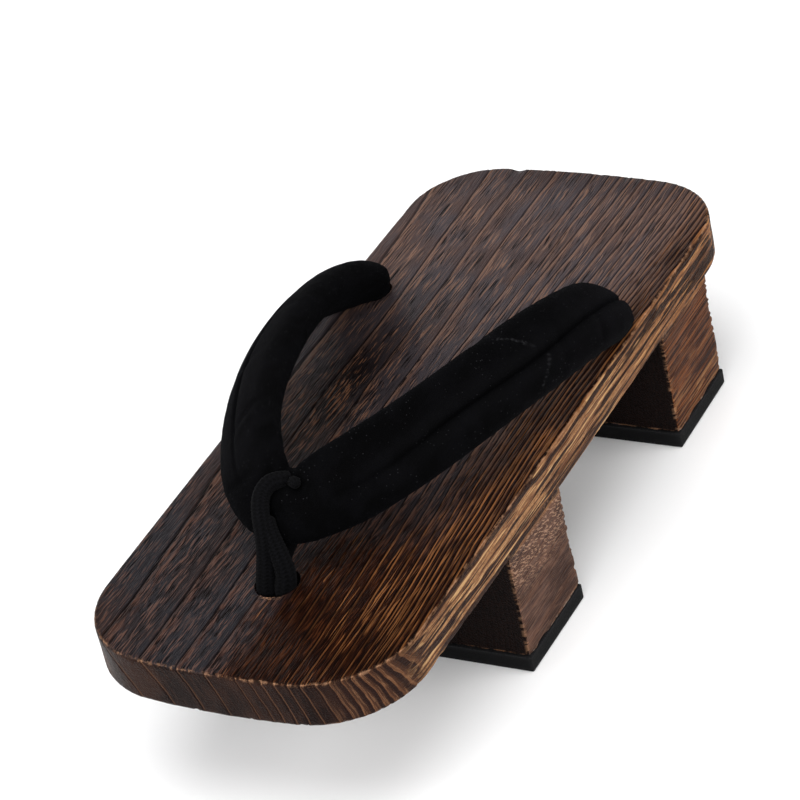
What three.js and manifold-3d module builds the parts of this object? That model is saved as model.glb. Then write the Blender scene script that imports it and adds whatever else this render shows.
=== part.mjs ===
// Geta: a wooden sandal whose board and two teeth are sawn from one block, with rubber pads
// under the teeth and a padded strap that a tie cord holds down at the front.
//
// Millimetres. +Z is up, -Y is towards the toe, +X is the wearer's left.
// The origin is on the floor, under the middle of the sandal.

import * as THREE from 'three';
import { mergeVertices } from 'three/addons/utils/BufferGeometryUtils.js';
import Module from 'manifold-3d';

const wasm = await Module();
wasm.setup();

// Driving dimensions of the block.
const LENGTH = 270;
const HEIGHT = 57.6;
const BOARD_THICKNESS = 15.3;
const PAD_THICKNESS = 5.7;
const GAP = 0.3;

// Plan outline: the sides and both ends bow outwards, and round corners join them.
const WIDEST = { halfWidth: 54.2, y: 67 };
const SIDE_RADIUS = 8700;
const TOE = { cornerRadius: 30.5, bowRadius: 282 };
const HEEL = { cornerRadius: 28, bowRadius: 385 };
const ARC_STEPS = 8;
const EDGE = { rounding: 1, steps: 2 };

// Teeth, each a slice of the block between two saw cuts across it.
const TEETH = {
  front: { from: -50.9, to: -14.6 },
  rear: { from: 65.6, to: 102.6 },
};
const TOOTH_ROOT = 2;
const PAD_OVERHANG = 0.4;

// Bored strap holes.
const FRONT_HOLE = { x: 0, y: -92.3, radius: 6.9 };
const REAR_HOLE = { x: 41.5, y: 55.7, radius: 5.3 };

// Strap: the centre line of one arm, from its rear hole to the middle of the front. Heights
// called rise are above the board's top face.
const ARM_ROUTE = {
  rearEnd: { x: 41.9, y: 56.8, rise: -1 },
  rearLift: { x: 54.2, y: 29.5, rise: 30.2 },
  frontReach: { x: 30.6, y: -75.5, rise: 23.7 },
  frontMiddle: { x: 0, y: -78.6, rise: 18.1 },
};

// Sections across the arm: how far along it, the flat face's half widths towards its outer
// and inner edge, its thickness, and how far the outer edge is turned down, in degrees.
const ARM_SECTIONS = [
  { along: 0.0, outer: 9.6, inner: 10.4, thick: 12.8, drop: 37 },
  { along: 0.15, outer: 11.8, inner: 12.2, thick: 12.2, drop: 37 },
  { along: 0.4, outer: 13.0, inner: 13.0, thick: 10.6, drop: 38 },
  { along: 0.75, outer: 12.9, inner: 12.8, thick: 10.2, drop: 43 },
  { along: 1.0, outer: 10.2, inner: 3.4, thick: 8.2, drop: 50 },
];
const ARM_STEPS = 30;
const SECTION_POINTS = 20;
const SECTION_POWER = 0.8;

// The arm's rear end is rounded off over its last millimetres, where the sections lie closer.
const BLUNT_END = 9;
const BLUNT_START = 0.06;
const REAR_STEPS_BIAS = 1.35;
const TAIL_TOP_IN_STRAP = 2;
const TAIL_CLEARANCE = 0.5;
const STRAP_KNOT = { radius: 8.3, height: 9 };

// Front tie: the routes of its strands, as points chosen on the way round the strap. The loop
// runs from the hole up the front, over the strap, down through the crotch and back.
const TIE_CORD_RADIUS = 2.7;
const TIE_KNOT = { radius: 9, height: 7.5 };
const TIE_TAIL_DEPTH = 4;
const TIE_STRANDS = [
  {
    steps: 50,
    route: [
      { x: -1.3, y: -92.4, rise: -6 },
      { x: -1.3, y: -92.4, rise: 0 },
      { x: -1.2, y: -91.5, rise: 5 },
      { x: -1.2, y: -90.2, rise: 9 },
      { x: -1.5, y: -89.4, rise: 12.8 },
      { x: -2.5, y: -88.0, rise: 17.0 },
      { x: -4.3, y: -85.4, rise: 20.8 },
      { x: -5.3, y: -81.8, rise: 24.8 },
      { x: -3.6, y: -78.4, rise: 26.6 },
      { x: -0.9, y: -75.8, rise: 25.4 },
      { x: 0, y: -72.6, rise: 22.6 },
      { x: 0, y: -70.4, rise: 17.8 },
      { x: 0.3, y: -71.9, rise: 12.8 },
      { x: 0.6, y: -75.4, rise: 8.6 },
      { x: 1.0, y: -80.2, rise: 6.0 },
      { x: 1.2, y: -84.4, rise: 4.6 },
      { x: 1.2, y: -88.0, rise: 2.2 },
      { x: 1.2, y: -89.4, rise: -6 },
    ],
  },
  {
    steps: 18,
    route: [
      { x: 3.5, y: -92.3, rise: -6 },
      { x: 3.6, y: -92.2, rise: 0 },
      { x: 3.8, y: -91.3, rise: 4.5 },
      { x: 4.0, y: -90.1, rise: 9 },
      { x: 3.4, y: -89.0, rise: 13.4 },
      { x: 1.6, y: -87.8, rise: 17.2 },
      { x: -1.0, y: -86.6, rise: 20.0 },
    ],
  },
  {
    steps: 8,
    route: [
      { x: 0.2, y: -74.6, rise: 24.0 },
      { x: 2.2, y: -76.4, rise: 26.3 },
      { x: 4.4, y: -77.4, rise: 27.3 },
      { x: 6.3, y: -78.8, rise: 26.8 },
    ],
  },
];
const CORD_SIDES = 10;
const ROUND_SIDES = 32;

const BOARD_TOP = HEIGHT;
const BOARD_BOTTOM = HEIGHT - BOARD_THICKNESS;

/** A closed geometry as a manifold solid. */
function solid(geometry) {
  const bare = geometry.clone();
  bare.deleteAttribute('normal');
  bare.deleteAttribute('uv');
  const merged = mergeVertices(bare);
  return new wasm.Manifold(new wasm.Mesh({
    numProp: 3,
    vertProperties: new Float32Array(merged.attributes.position.array),
    triVerts: new Uint32Array(merged.index.array),
  }));
}

/** A manifold solid as a named mesh with its material. */
function mesh(name, body, material) {
  const { vertProperties, triVerts } = body.getMesh();
  const geometry = new THREE.BufferGeometry();
  geometry.setAttribute('position', new THREE.BufferAttribute(vertProperties, 3));
  geometry.setIndex(new THREE.BufferAttribute(triVerts, 1));
  geometry.computeVertexNormals();
  const result = new THREE.Mesh(geometry, material);
  result.name = name;
  return result;
}

/** A box between two corners. */
function block(low, high) {
  const size = high.clone().sub(low);
  const centre = high.clone().add(low).multiplyScalar(0.5);
  return solid(new THREE.BoxGeometry(...size.toArray()).translate(...centre.toArray()));
}

/** An upright round bar. */
function upright(x, y, radius, bottom, top) {
  const bar = new THREE.CylinderGeometry(radius, radius, top - bottom, ROUND_SIDES);
  return solid(bar.rotateX(Math.PI / 2).translate(x, y, (bottom + top) / 2));
}

/** The centre of the corner arc that touches an end arc and a side arc from inside. */
function cornerCentre(end, side, radius) {
  const reachEnd = end.radius - radius;
  const reachSide = side.radius - radius;
  const across = side.centre.clone().sub(end.centre);
  const distance = across.length();
  const along = (distance ** 2 + reachEnd ** 2 - reachSide ** 2) / (2 * distance);
  const aside = Math.sqrt(reachEnd ** 2 - along ** 2);
  const unit = across.normalize();
  const square = new THREE.Vector2(-unit.y, unit.x);
  const towardsEnd = Math.sign(square.y * end.facing);
  return end.centre.clone().addScaledVector(unit, along).addScaledVector(square, aside * towardsEnd);
}

/** The direction from one point to another, as an angle. */
function angleTo(from, to) {
  return Math.atan2(to.y - from.y, to.x - from.x);
}

/** The block's plan outline, grown outwards by a margin. */
function planOutline(margin = 0) {
  const side = {
    centre: new THREE.Vector2(WIDEST.halfWidth - SIDE_RADIUS, WIDEST.y),
    radius: SIDE_RADIUS,
  };
  const ends = [
    { ...TOE, facing: -1 },
    { ...HEEL, facing: 1 },
  ].map(({ cornerRadius, bowRadius, facing }) => {
    const centre = new THREE.Vector2(0, facing * (LENGTH / 2 - bowRadius));
    const end = { centre, radius: bowRadius, facing };
    const corner = cornerCentre(end, side, cornerRadius);
    return {
      centre,
      corner,
      bowRadius: bowRadius + margin,
      cornerRadius: cornerRadius + margin,
      bowAngle: angleTo(centre, corner),
      sideAngle: angleTo(side.centre, corner),
    };
  });
  const [toe, heel] = ends;
  const sideRadius = side.radius + margin;
  const outline = new THREE.Shape();
  outline.absarc(0, toe.centre.y, toe.bowRadius, -Math.PI - toe.bowAngle, toe.bowAngle);
  outline.absarc(toe.corner.x, toe.corner.y, toe.cornerRadius, toe.bowAngle, toe.sideAngle);
  outline.absarc(side.centre.x, side.centre.y, sideRadius, toe.sideAngle, heel.sideAngle);
  outline.absarc(heel.corner.x, heel.corner.y, heel.cornerRadius, heel.sideAngle, heel.bowAngle);
  outline.absarc(0, heel.centre.y, heel.bowRadius, heel.bowAngle, Math.PI - heel.bowAngle);
  outline.absarc(
    -heel.corner.x, heel.corner.y, heel.cornerRadius, Math.PI - heel.bowAngle, Math.PI - heel.sideAngle,
  );
  outline.absarc(
    -side.centre.x, side.centre.y, sideRadius, Math.PI - heel.sideAngle, Math.PI - toe.sideAngle,
  );
  outline.absarc(
    -toe.corner.x, toe.corner.y, toe.cornerRadius, Math.PI - toe.sideAngle, Math.PI - toe.bowAngle,
  );
  return outline;
}

/** The plan outline between two heights, with its edges rounded if asked. */
function slab(bottom, top, { margin = 0, rounding = 0 } = {}) {
  const geometry = new THREE.ExtrudeGeometry(planOutline(margin), {
    depth: top - bottom - 2 * rounding,
    curveSegments: ARC_STEPS,
    bevelEnabled: rounding > 0,
    bevelThickness: rounding,
    bevelSize: rounding,
    bevelOffset: -rounding,
    bevelSegments: EDGE.steps,
  });
  return solid(geometry.translate(0, 0, bottom + rounding));
}

/** The slice of the plan outline that one tooth covers, between two heights. */
function toothSlice(tooth, bottom, top, margin = 0) {
  const low = new THREE.Vector3(-LENGTH, tooth.from - margin, bottom);
  const high = new THREE.Vector3(LENGTH, tooth.to + margin, top);
  return slab(bottom, top, { margin }).intersect(block(low, high));
}

/** The board and its teeth, with the strap holes bored through. */
function makeDai() {
  let body = slab(BOARD_BOTTOM, BOARD_TOP, { rounding: EDGE.rounding });
  for (const tooth of Object.values(TEETH)) {
    body = body.add(toothSlice(tooth, PAD_THICKNESS, BOARD_BOTTOM + TOOTH_ROOT));
  }
  const holes = [FRONT_HOLE, REAR_HOLE, { ...REAR_HOLE, x: -REAR_HOLE.x }];
  for (const { x, y, radius } of holes) {
    body = body.subtract(upright(x, y, radius, BOARD_BOTTOM - GAP, BOARD_TOP + GAP));
  }
  return body;
}

/** A value of the section table, eased between its rows. */
function sectionValue(column, along) {
  const next = Math.max(1, ARM_SECTIONS.findIndex((row) => row.along >= along));
  const before = ARM_SECTIONS[next - 1];
  const after = ARM_SECTIONS[next];
  const share = THREE.MathUtils.smoothstep(along, before.along, after.along);
  return THREE.MathUtils.lerp(before[column], after[column], share);
}

/** A route point as a position in the sandal's frame. */
function place({ x, y, rise }) {
  return new THREE.Vector3(x, y, BOARD_TOP + rise);
}

/** One section of the arm, as a ring of points round its centre line. */
function armSection(route, along) {
  const last = along === 1;
  const centre = route.getPoint(along);
  const tangent = last ? new THREE.Vector3(-1, 0, 0) : route.getTangent(along);
  const outward = new THREE.Vector3(-tangent.y, tangent.x, 0).normalize();
  const up = new THREE.Vector3().crossVectors(outward, tangent).normalize();
  if (up.z < 0) up.negate();
  const drop = THREE.MathUtils.degToRad(sectionValue('drop', along));
  const across = outward.clone().multiplyScalar(Math.cos(drop)).addScaledVector(up, -Math.sin(drop));
  const facing = outward.clone().multiplyScalar(Math.sin(drop)).addScaledVector(up, Math.cos(drop));
  const fromEnd = Math.min(1, (along * route.getLength()) / BLUNT_END);
  const blunt = Math.sqrt(1 - (1 - Math.max(fromEnd, BLUNT_START)) ** 2);
  return Array.from({ length: SECTION_POINTS }, (_, point) => {
    const turn = (point / SECTION_POINTS) * 2 * Math.PI;
    const side = Math.sign(Math.cos(turn)) * Math.abs(Math.cos(turn)) ** SECTION_POWER;
    const face = Math.sign(Math.sin(turn)) * Math.abs(Math.sin(turn)) ** SECTION_POWER;
    const halfWidth = sectionValue(side > 0 ? 'outer' : 'inner', along) * blunt;
    const halfThick = (sectionValue('thick', along) / 2) * blunt;
    return centre.clone().addScaledVector(across, side * halfWidth).addScaledVector(facing, face * halfThick);
  });
}

/** A closed body through rings of points, with flat ends. */
function loft(rings) {
  const count = rings[0].length;
  const points = rings.flat();
  const faces = [];
  for (let ring = 0; ring + 1 < rings.length; ring += 1) {
    for (let point = 0; point < count; point += 1) {
      const a = ring * count + point;
      const b = ring * count + ((point + 1) % count);
      faces.push(a, b, a + count, b, b + count, a + count);
    }
  }
  const finish = (rings.length - 1) * count;
  for (let point = 1; point + 1 < count; point += 1) {
    faces.push(0, point + 1, point);
    faces.push(finish, finish + point, finish + point + 1);
  }
  const geometry = new THREE.BufferGeometry().setFromPoints(points);
  geometry.setIndex(faces);
  return solid(geometry);
}

/** A knot: a flattened ball under the board, round an upright tail that ends inside it. */
function knottedTail(hole, radius, tailTop, knot) {
  const knotTop = BOARD_BOTTOM - GAP;
  const ball = new THREE.SphereGeometry(1, ROUND_SIDES / 2, ROUND_SIDES / 4);
  ball.rotateX(Math.PI / 2).scale(knot.radius, knot.radius, knot.height / 2);
  const bottom = knotTop - knot.height / 2;
  const tail = upright(hole.x, hole.y, radius, bottom, tailTop);
  return tail.add(solid(ball.translate(hole.x, hole.y, bottom)));
}

/** The strap: both arms as one loft, pressed flat on the board, with knotted tails. */
function makeHanao() {
  const route = new THREE.CubicBezierCurve3(
    place(ARM_ROUTE.rearEnd),
    place(ARM_ROUTE.rearLift),
    place(ARM_ROUTE.frontReach),
    place(ARM_ROUTE.frontMiddle),
  );
  const stations = Array.from(
    { length: ARM_STEPS + 1 },
    (_, step) => (step / ARM_STEPS) ** REAR_STEPS_BIAS,
  );
  const left = stations.map((along) => armSection(route, along));
  const right = left.slice(0, -1).map((ring) => ring.map(({ x, y, z }) => new THREE.Vector3(-x, y, z)));
  let body = loft([...left, ...right.reverse()]);
  const low = new THREE.Vector3(-LENGTH, -LENGTH, 0);
  const high = new THREE.Vector3(LENGTH, LENGTH, BOARD_TOP + GAP);
  body = body.subtract(block(low, high));
  for (const side of [1, -1]) {
    const hole = { x: side * REAR_HOLE.x, y: REAR_HOLE.y };
    const radius = REAR_HOLE.radius - TAIL_CLEARANCE;
    body = body.add(knottedTail(hole, radius, BOARD_TOP + TAIL_TOP_IN_STRAP, STRAP_KNOT));
  }
  return body;
}

/** A round cord along a smooth route through the given points. */
function cord({ route, steps }) {
  const section = new THREE.Shape().absarc(0, 0, TIE_CORD_RADIUS, 0, 2 * Math.PI);
  const geometry = new THREE.ExtrudeGeometry(section, {
    steps,
    curveSegments: CORD_SIDES / 2,
    extrudePath: new THREE.CatmullRomCurve3(route.map(place)),
    bevelEnabled: false,
  });
  return solid(geometry);
}

/** The tie: its strands joined, with a tail down the front hole and a knot under the board. */
function makeFrontTie() {
  const tailTop = BOARD_TOP - TIE_TAIL_DEPTH;
  let body = knottedTail(FRONT_HOLE, FRONT_HOLE.radius - TAIL_CLEARANCE, tailTop, TIE_KNOT);
  for (const strand of TIE_STRANDS) body = body.add(cord(strand));
  return body;
}

const burntWood = new THREE.MeshStandardMaterial({ color: 0x4a2c1c, roughness: 0.6, metalness: 0 });
const blackRubber = new THREE.MeshStandardMaterial({ color: 0x18181a, roughness: 0.85, metalness: 0 });
const blackVelvet = new THREE.MeshStandardMaterial({ color: 0x08080a, roughness: 1, metalness: 0 });
const blackCord = new THREE.MeshStandardMaterial({ color: 0x0e0e12, roughness: 0.95, metalness: 0 });

const geta = new THREE.Group();
geta.add(mesh('dai', makeDai(), burntWood));
for (const [name, tooth] of Object.entries(TEETH)) {
  const pad = toothSlice(tooth, 0, PAD_THICKNESS - GAP, PAD_OVERHANG);
  geta.add(mesh(`${name}_pad`, pad, blackRubber));
}
geta.add(mesh('hanao', makeHanao(), blackVelvet));
geta.add(mesh('front_tie', makeFrontTie(), blackCord));

export default geta;
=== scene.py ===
"""Looks of a geta: a board and two teeth sawn from one block of burnt and brushed wood, rubber pads under the
teeth, and a padded velvet strap that a soft cord ties down at the front.

Metres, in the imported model's frame: +Z is up, -Y is towards the toe, +X is the wearer's left.
"""

import logging
import math
from contextlib import contextmanager
from dataclasses import dataclass, field, replace
from enum import Enum
from functools import reduce
from typing import Callable, Iterable, Iterator, NamedTuple, Sequence

import bmesh
import bpy
import numpy as np
from mathutils import Matrix, Vector


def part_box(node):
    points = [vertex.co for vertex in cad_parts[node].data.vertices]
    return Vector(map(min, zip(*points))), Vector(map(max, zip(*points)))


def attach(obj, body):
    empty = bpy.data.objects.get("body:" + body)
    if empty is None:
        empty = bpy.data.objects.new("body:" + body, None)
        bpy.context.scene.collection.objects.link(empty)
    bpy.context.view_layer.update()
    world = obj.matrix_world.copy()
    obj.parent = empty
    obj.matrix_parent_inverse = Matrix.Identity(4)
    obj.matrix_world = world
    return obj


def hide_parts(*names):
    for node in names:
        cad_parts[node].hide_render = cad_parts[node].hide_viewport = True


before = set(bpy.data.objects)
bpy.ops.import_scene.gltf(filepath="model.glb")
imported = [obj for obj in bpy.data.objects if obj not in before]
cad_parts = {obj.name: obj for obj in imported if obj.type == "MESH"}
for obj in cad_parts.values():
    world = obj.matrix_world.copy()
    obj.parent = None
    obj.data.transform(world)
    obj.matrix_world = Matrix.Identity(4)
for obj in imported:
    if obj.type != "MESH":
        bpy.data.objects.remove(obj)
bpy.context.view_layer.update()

LOG = logging.getLogger("geta")
BODY = "root"
MM = 0.001
UP = Vector((0.0, 0.0, 1.0))
TURN = 2 * math.pi

Colour = tuple[float, float, float]
Place = tuple[float, float, float]
Socket = bpy.types.NodeSocket
Value = Socket | float | Sequence[float]


class Hole(NamedTuple):
    """A hole bored through the board: its place and its radius."""

    x: float
    y: float
    radius: float


# What several pieces share.
FRONT_HOLE = Hole(0.0, -0.0923, 0.0069)
REAR_HOLE = Hole(0.0415, 0.0557, 0.0053)
BOARD_THICKNESS = 0.0153
TEETH = {"front": (-0.0509, -0.0146), "rear": (0.0656, 0.1026)}
EDGE = "edge"
EDGE_TURN = 20.0
SHARP_TURN = 40.0
STATIONS = 160
SPAN_STEPS = 24


# ---------------------------------------------------------------------------------------------
# Shared tools
# ---------------------------------------------------------------------------------------------


class Graph:
    """Adds nodes to a shader or geometry tree and joins them."""

    def __init__(self, tree: bpy.types.NodeTree) -> None:
        """Starts on a tree that gets the nodes."""
        self.tree = tree

    def node(self, kind: str, **settings: object) -> bpy.types.Node:
        """Adds one node.

        Args:
            kind: the node's type name.
            **settings: properties to set on it.

        Returns:
            The new node.
        """
        node = self.tree.nodes.new(kind)
        for name, value in settings.items():
            setattr(node, name, value)
        return node

    def feed(self, socket: Socket, value: Value) -> None:
        """Links a socket to an input, or sets the input's own value.

        Args:
            socket: the input.
            value: an output socket, a number, a colour or a vector.
        """
        if isinstance(value, bpy.types.NodeSocket):
            self.tree.links.new(value, socket)
        elif isinstance(value, (int, float)):
            socket.default_value = value
        else:
            size = len(socket.default_value)
            socket.default_value = (*value, 1.0)[:size]

    def math(self, operation: str, a: Value, b: Value = 0.0) -> Socket:
        """One step of arithmetic on two numbers.

        Args:
            operation: the operation's name.
            a: the first number.
            b: the second number.

        Returns:
            The result.
        """
        node = self.node("ShaderNodeMath", operation=operation)
        self.feed(node.inputs[0], a)
        self.feed(node.inputs[1], b)
        return node.outputs[0]

    def plus(self, a: Value, b: Value) -> Socket:
        """The sum of two numbers."""
        return self.math("ADD", a, b)

    def minus(self, a: Value, b: Value) -> Socket:
        """One number less another."""
        return self.math("SUBTRACT", a, b)

    def most(self, a: Value, b: Value) -> Socket:
        """The larger of two numbers."""
        return self.math("MAXIMUM", a, b)

    def times(self, *factors: Value) -> Socket:
        """The product of numbers."""
        return reduce(lambda a, b: self.math("MULTIPLY", a, b), factors)

    def vector(self, operation: str, a: Value, b: Value) -> Socket:
        """One step of arithmetic on two vectors.

        Args:
            operation: the operation's name.
            a: the first vector.
            b: the second vector.

        Returns:
            The result.
        """
        node = self.node("ShaderNodeVectorMath", operation=operation)
        self.feed(node.inputs[0], a)
        self.feed(node.inputs[1], b)
        return node.outputs["Value" if operation == "LENGTH" else "Vector"]

    def length(self, value: Socket) -> Socket:
        """A vector's length."""
        return self.vector("LENGTH", value, (0, 0, 0))

    def parts(self, value: Socket) -> tuple[Socket, Socket, Socket]:
        """A vector's three parts."""
        node = self.node("ShaderNodeSeparateXYZ")
        self.feed(node.inputs[0], value)
        return node.outputs[0], node.outputs[1], node.outputs[2]

    def joined(self, x: Value, y: Value, z: Value) -> Socket:
        """A vector made of three numbers."""
        node = self.node("ShaderNodeCombineXYZ")
        for socket, value in zip(node.inputs, (x, y, z)):
            self.feed(socket, value)
        return node.outputs[0]

    def noise(self, place: Socket, size: Sequence[float], detail: float = 2.0, rough: float = 0.5) -> Socket:
        """Soft cloudy noise from 0 to 1, stretched along each axis.

        Args:
            place: the position, in millimetres.
            size: how big the clouds are along x, y and z, in millimetres.
            detail: how many finer layers are added.
            rough: how strong the finer layers are.

        Returns:
            The noise.
        """
        node = self.node("ShaderNodeTexNoise")
        self.feed(node.inputs["Vector"], self.vector("DIVIDE", place, size))
        node.inputs["Scale"].default_value = 1.0
        node.inputs["Detail"].default_value = detail
        node.inputs["Roughness"].default_value = rough
        return node.outputs[0]

    def cells(self, place: Socket, size: Sequence[float]) -> Socket:
        """The distance to the nearest of a crowd of scattered points, in cells.

        Args:
            place: the position, in millimetres.
            size: the cells' size along x, y and z, in millimetres.

        Returns:
            The distance.
        """
        node = self.node("ShaderNodeTexVoronoi")
        self.feed(node.inputs["Vector"], self.vector("DIVIDE", place, size))
        node.inputs["Scale"].default_value = 1.0
        return node.outputs["Distance"]

    def step(self, value: Value, low: float, high: float, start: Value = 0.0, end: Value = 1.0) -> Socket:
        """A smooth step from start to end as a value goes from low to high.

        Args:
            value: the value.
            low: where the step starts.
            high: where it ends.
            start: the result below low.
            end: the result above high.

        Returns:
            The stepped value.
        """
        node = self.node("ShaderNodeMapRange", interpolation_type="SMOOTHSTEP")
        names = ("Value", "From Min", "From Max", "To Min", "To Max")
        for name, given in zip(names, (value, low, high, start, end)):
            self.feed(node.inputs[name], given)
        return node.outputs["Result"]

    def fall(self, value: Value, low: float, high: float) -> Socket:
        """A smooth step down from 1 to 0."""
        return self.step(value, low, high, 1.0, 0.0)

    def bump_at(self, value: Value, middle: float, reach: float) -> Socket:
        """A soft peak of height 1 where a value equals middle, which falls to 0 at a reach from it."""
        return self.fall(self.math("ABSOLUTE", self.minus(value, middle)), 0.0, reach)

    def curve(self, value: Socket, points: Sequence[tuple[float, float]]) -> Socket:
        """Reads a value off a curve drawn through given points.

        Args:
            value: the value to look up.
            points: the curve's points, of which the last is the largest.

        Returns:
            The value on the curve.
        """
        node = self.node("ShaderNodeFloatCurve")
        line = node.mapping.curves[0]
        span = points[-1]
        scaled = [(x / span[0], y / span[1]) for x, y in points]
        line.points[0].location, line.points[-1].location = scaled[0], scaled[-1]
        for x, y in scaled[1:-1]:
            line.points.new(x, y)
        node.mapping.update()
        self.feed(node.inputs["Value"], self.math("DIVIDE", value, span[0]))
        return self.times(node.outputs[0], span[1])

    def blend(self, share: Value, a: Value, b: Value) -> Socket:
        """Mixes two colours.

        Args:
            share: how much of the second colour there is.
            a: the first colour.
            b: the second colour.

        Returns:
            The mixed colour.
        """
        node = self.node("ShaderNodeMix", data_type="RGBA")
        self.feed(node.inputs["Factor"], share)
        self.feed(node.inputs[6], a)
        self.feed(node.inputs[7], b)
        return node.outputs[2]

    def over(self, base: Value, *layers: tuple[Value, Value]) -> Value:
        """Lays colours over one another.

        Args:
            base: the lowest colour.
            *layers: the share and the colour of each layer, from the lowest up.

        Returns:
            The mixed colour.
        """
        for share, colour in layers:
            base = self.blend(share, base, colour)
        return base

    def tint(self, colour: Value, strength: Value) -> Socket:
        """A colour made lighter or darker by a number."""
        return self.vector("MULTIPLY", colour, self.joined(strength, strength, strength))


class Surface(Graph):
    """The node tree of one material, with its shader and output."""

    def __init__(self, name: str) -> None:
        """Makes the material.

        Args:
            name: the material's name.
        """
        self.material = bpy.data.materials.new(name)
        self.material.use_nodes = True
        tree = self.material.node_tree
        tree.nodes.clear()
        super().__init__(tree)
        self.shader = self.node("ShaderNodeBsdfPrincipled")
        output = self.node("ShaderNodeOutputMaterial")
        tree.links.new(self.shader.outputs[0], output.inputs["Surface"])

    def set(self, name: str, value: Value) -> None:
        """Sets or links one of the shader's inputs."""
        self.feed(self.shader.inputs[name], value)

    def fix(self, name: str, value: float | Sequence[float]) -> None:
        """Sets a value that is the same everywhere, directly on the shader."""
        self.shader.inputs[name].default_value = value

    def place(self) -> Socket:
        """The position on the piece, in millimetres."""
        coordinates = self.node("ShaderNodeTexCoord")
        return self.vector("DIVIDE", coordinates.outputs["Object"], (MM, MM, MM))

    def attribute(self, name: str) -> Socket:
        """A number stored on the mesh."""
        return self.node("ShaderNodeAttribute", attribute_name=name).outputs["Fac"]

    def relief(self, height: Socket, depth: float) -> None:
        """Turns a height into a bumped normal and hands it to the shader.

        Args:
            height: the height, from 0 to 1.
            depth: the height's real depth, in metres.
        """
        node = self.node("ShaderNodeBump")
        node.inputs["Strength"].default_value = 1.0
        node.inputs["Distance"].default_value = depth
        self.feed(node.inputs["Height"], height)
        self.set("Normal", node.outputs[0])


def alone(piece: bpy.types.Object) -> None:
    """Selects one object and nothing else.

    Args:
        piece: the object.
    """
    bpy.ops.object.select_all(action="DESELECT")
    piece.select_set(True)
    bpy.context.view_layer.objects.active = piece


@contextmanager
def editing(piece: bpy.types.Object) -> Iterator[None]:
    """Keeps a piece in edit mode for a while.

    Args:
        piece: the piece.

    Yields:
        Nothing, while the piece is in edit mode.
    """
    alone(piece)
    bpy.ops.object.mode_set(mode="EDIT")
    yield
    bpy.ops.object.mode_set(mode="OBJECT")


def on_all(operator: Callable[..., object], **settings: object) -> None:
    """Runs an operator on the whole mesh in edit mode."""
    bpy.ops.mesh.select_all(action="SELECT")
    operator(**settings)


def cut_plane(place: Sequence[float], normal: Sequence[float], keep_inside: bool = False) -> None:
    """Cuts the mesh in edit mode along a plane, and drops what lies before it if only the inside is kept."""
    closed = {"use_fill": keep_inside, "clear_outer": keep_inside}
    on_all(bpy.ops.mesh.bisect, plane_co=place, plane_no=normal, **closed)


def rod(vertices: int, radius: float, depth: float, place: Sequence[float]) -> bpy.types.Object:
    """A new upright cylinder.

    Args:
        vertices: how many corners it has.
        radius: its radius.
        depth: its height.
        place: its middle.

    Returns:
        The cylinder.
    """
    bpy.ops.object.select_all(action="DESELECT")
    bpy.ops.mesh.primitive_cylinder_add(vertices=vertices, radius=radius, depth=depth, location=place)
    return bpy.context.object


def settle(piece: bpy.types.Object) -> None:
    """Writes a piece's place, turn and size into its mesh."""
    alone(piece)
    bpy.ops.object.transform_apply(location=True, rotation=True, scale=True)


def smooth(piece: bpy.types.Object) -> None:
    """Shades a piece smoothly all over."""
    alone(piece)
    bpy.ops.object.shade_smooth()


def rows_of(points: Iterable[Sequence[float]]) -> np.ndarray:
    """Points as rows of numbers."""
    return np.array([tuple(p) for p in points])


def along_line(line: Sequence[Vector], count: int) -> tuple[list[Vector], np.ndarray]:
    """Points evenly far apart along a line.

    Args:
        line: the line's own points.
        count: how many points are wanted.

    Returns:
        The points, and how far along the line each one lies.
    """
    lengths = np.cumsum([0.0, *((b - a).length for a, b in zip(line, line[1:]))])
    wanted = np.linspace(0.0, float(lengths[-1]), count)
    rows = rows_of(line)
    return [Vector([np.interp(w, lengths, rows[:, axis]) for axis in range(3)]) for w in wanted], wanted


def apply(piece: bpy.types.Object, kind: str, **settings: object) -> None:
    """Adds a modifier to a piece and applies it.

    Args:
        piece: the piece.
        kind: the modifier's type.
        **settings: the modifier's settings.
    """
    alone(piece)
    modifier = piece.modifiers.new(kind.lower(), kind)
    for name, value in settings.items():
        setattr(modifier, name, value)
    bpy.ops.object.modifier_apply(modifier=modifier.name)


def pick_edges(piece: bpy.types.Object, test: Callable[[bmesh.types.BMEdge], bool]) -> None:
    """Selects the edges of a mesh that pass a test, in edit mode.

    Args:
        piece: the object in edit mode.
        test: says whether an edge is wanted.
    """
    mesh = bmesh.from_edit_mesh(piece.data)
    bpy.ops.mesh.select_mode(type="EDGE")
    bpy.ops.mesh.select_all(action="DESELECT")
    for edge in mesh.edges:
        if test(edge):
            edge.select = True
    mesh.select_flush_mode()
    bmesh.update_edit_mesh(piece.data)


def joined(pieces: Sequence[bpy.types.Object], name: str) -> bpy.types.Object:
    """Joins pieces into the first one.

    Args:
        pieces: the pieces.
        name: the name of the result.

    Returns:
        The joined piece.
    """
    alone(pieces[0])
    for piece in pieces:
        piece.select_set(True)
    bpy.ops.object.join()
    pieces[0].name = name
    pieces[0].data.name = name
    return pieces[0]


def skin(name: str, points: np.ndarray, faces: Sequence[Sequence[int]]) -> bpy.types.Object:
    """A new mesh object from points and faces.

    Args:
        name: the object's name.
        points: the points, in metres.
        faces: the point numbers of each face.

    Returns:
        The object.
    """
    mesh = bpy.data.meshes.new(name)
    mesh.from_pydata([tuple(p) for p in points], [], [tuple(f) for f in faces])
    mesh.validate()
    piece = bpy.data.objects.new(name, mesh)
    bpy.context.scene.collection.objects.link(piece)
    return piece


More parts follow.
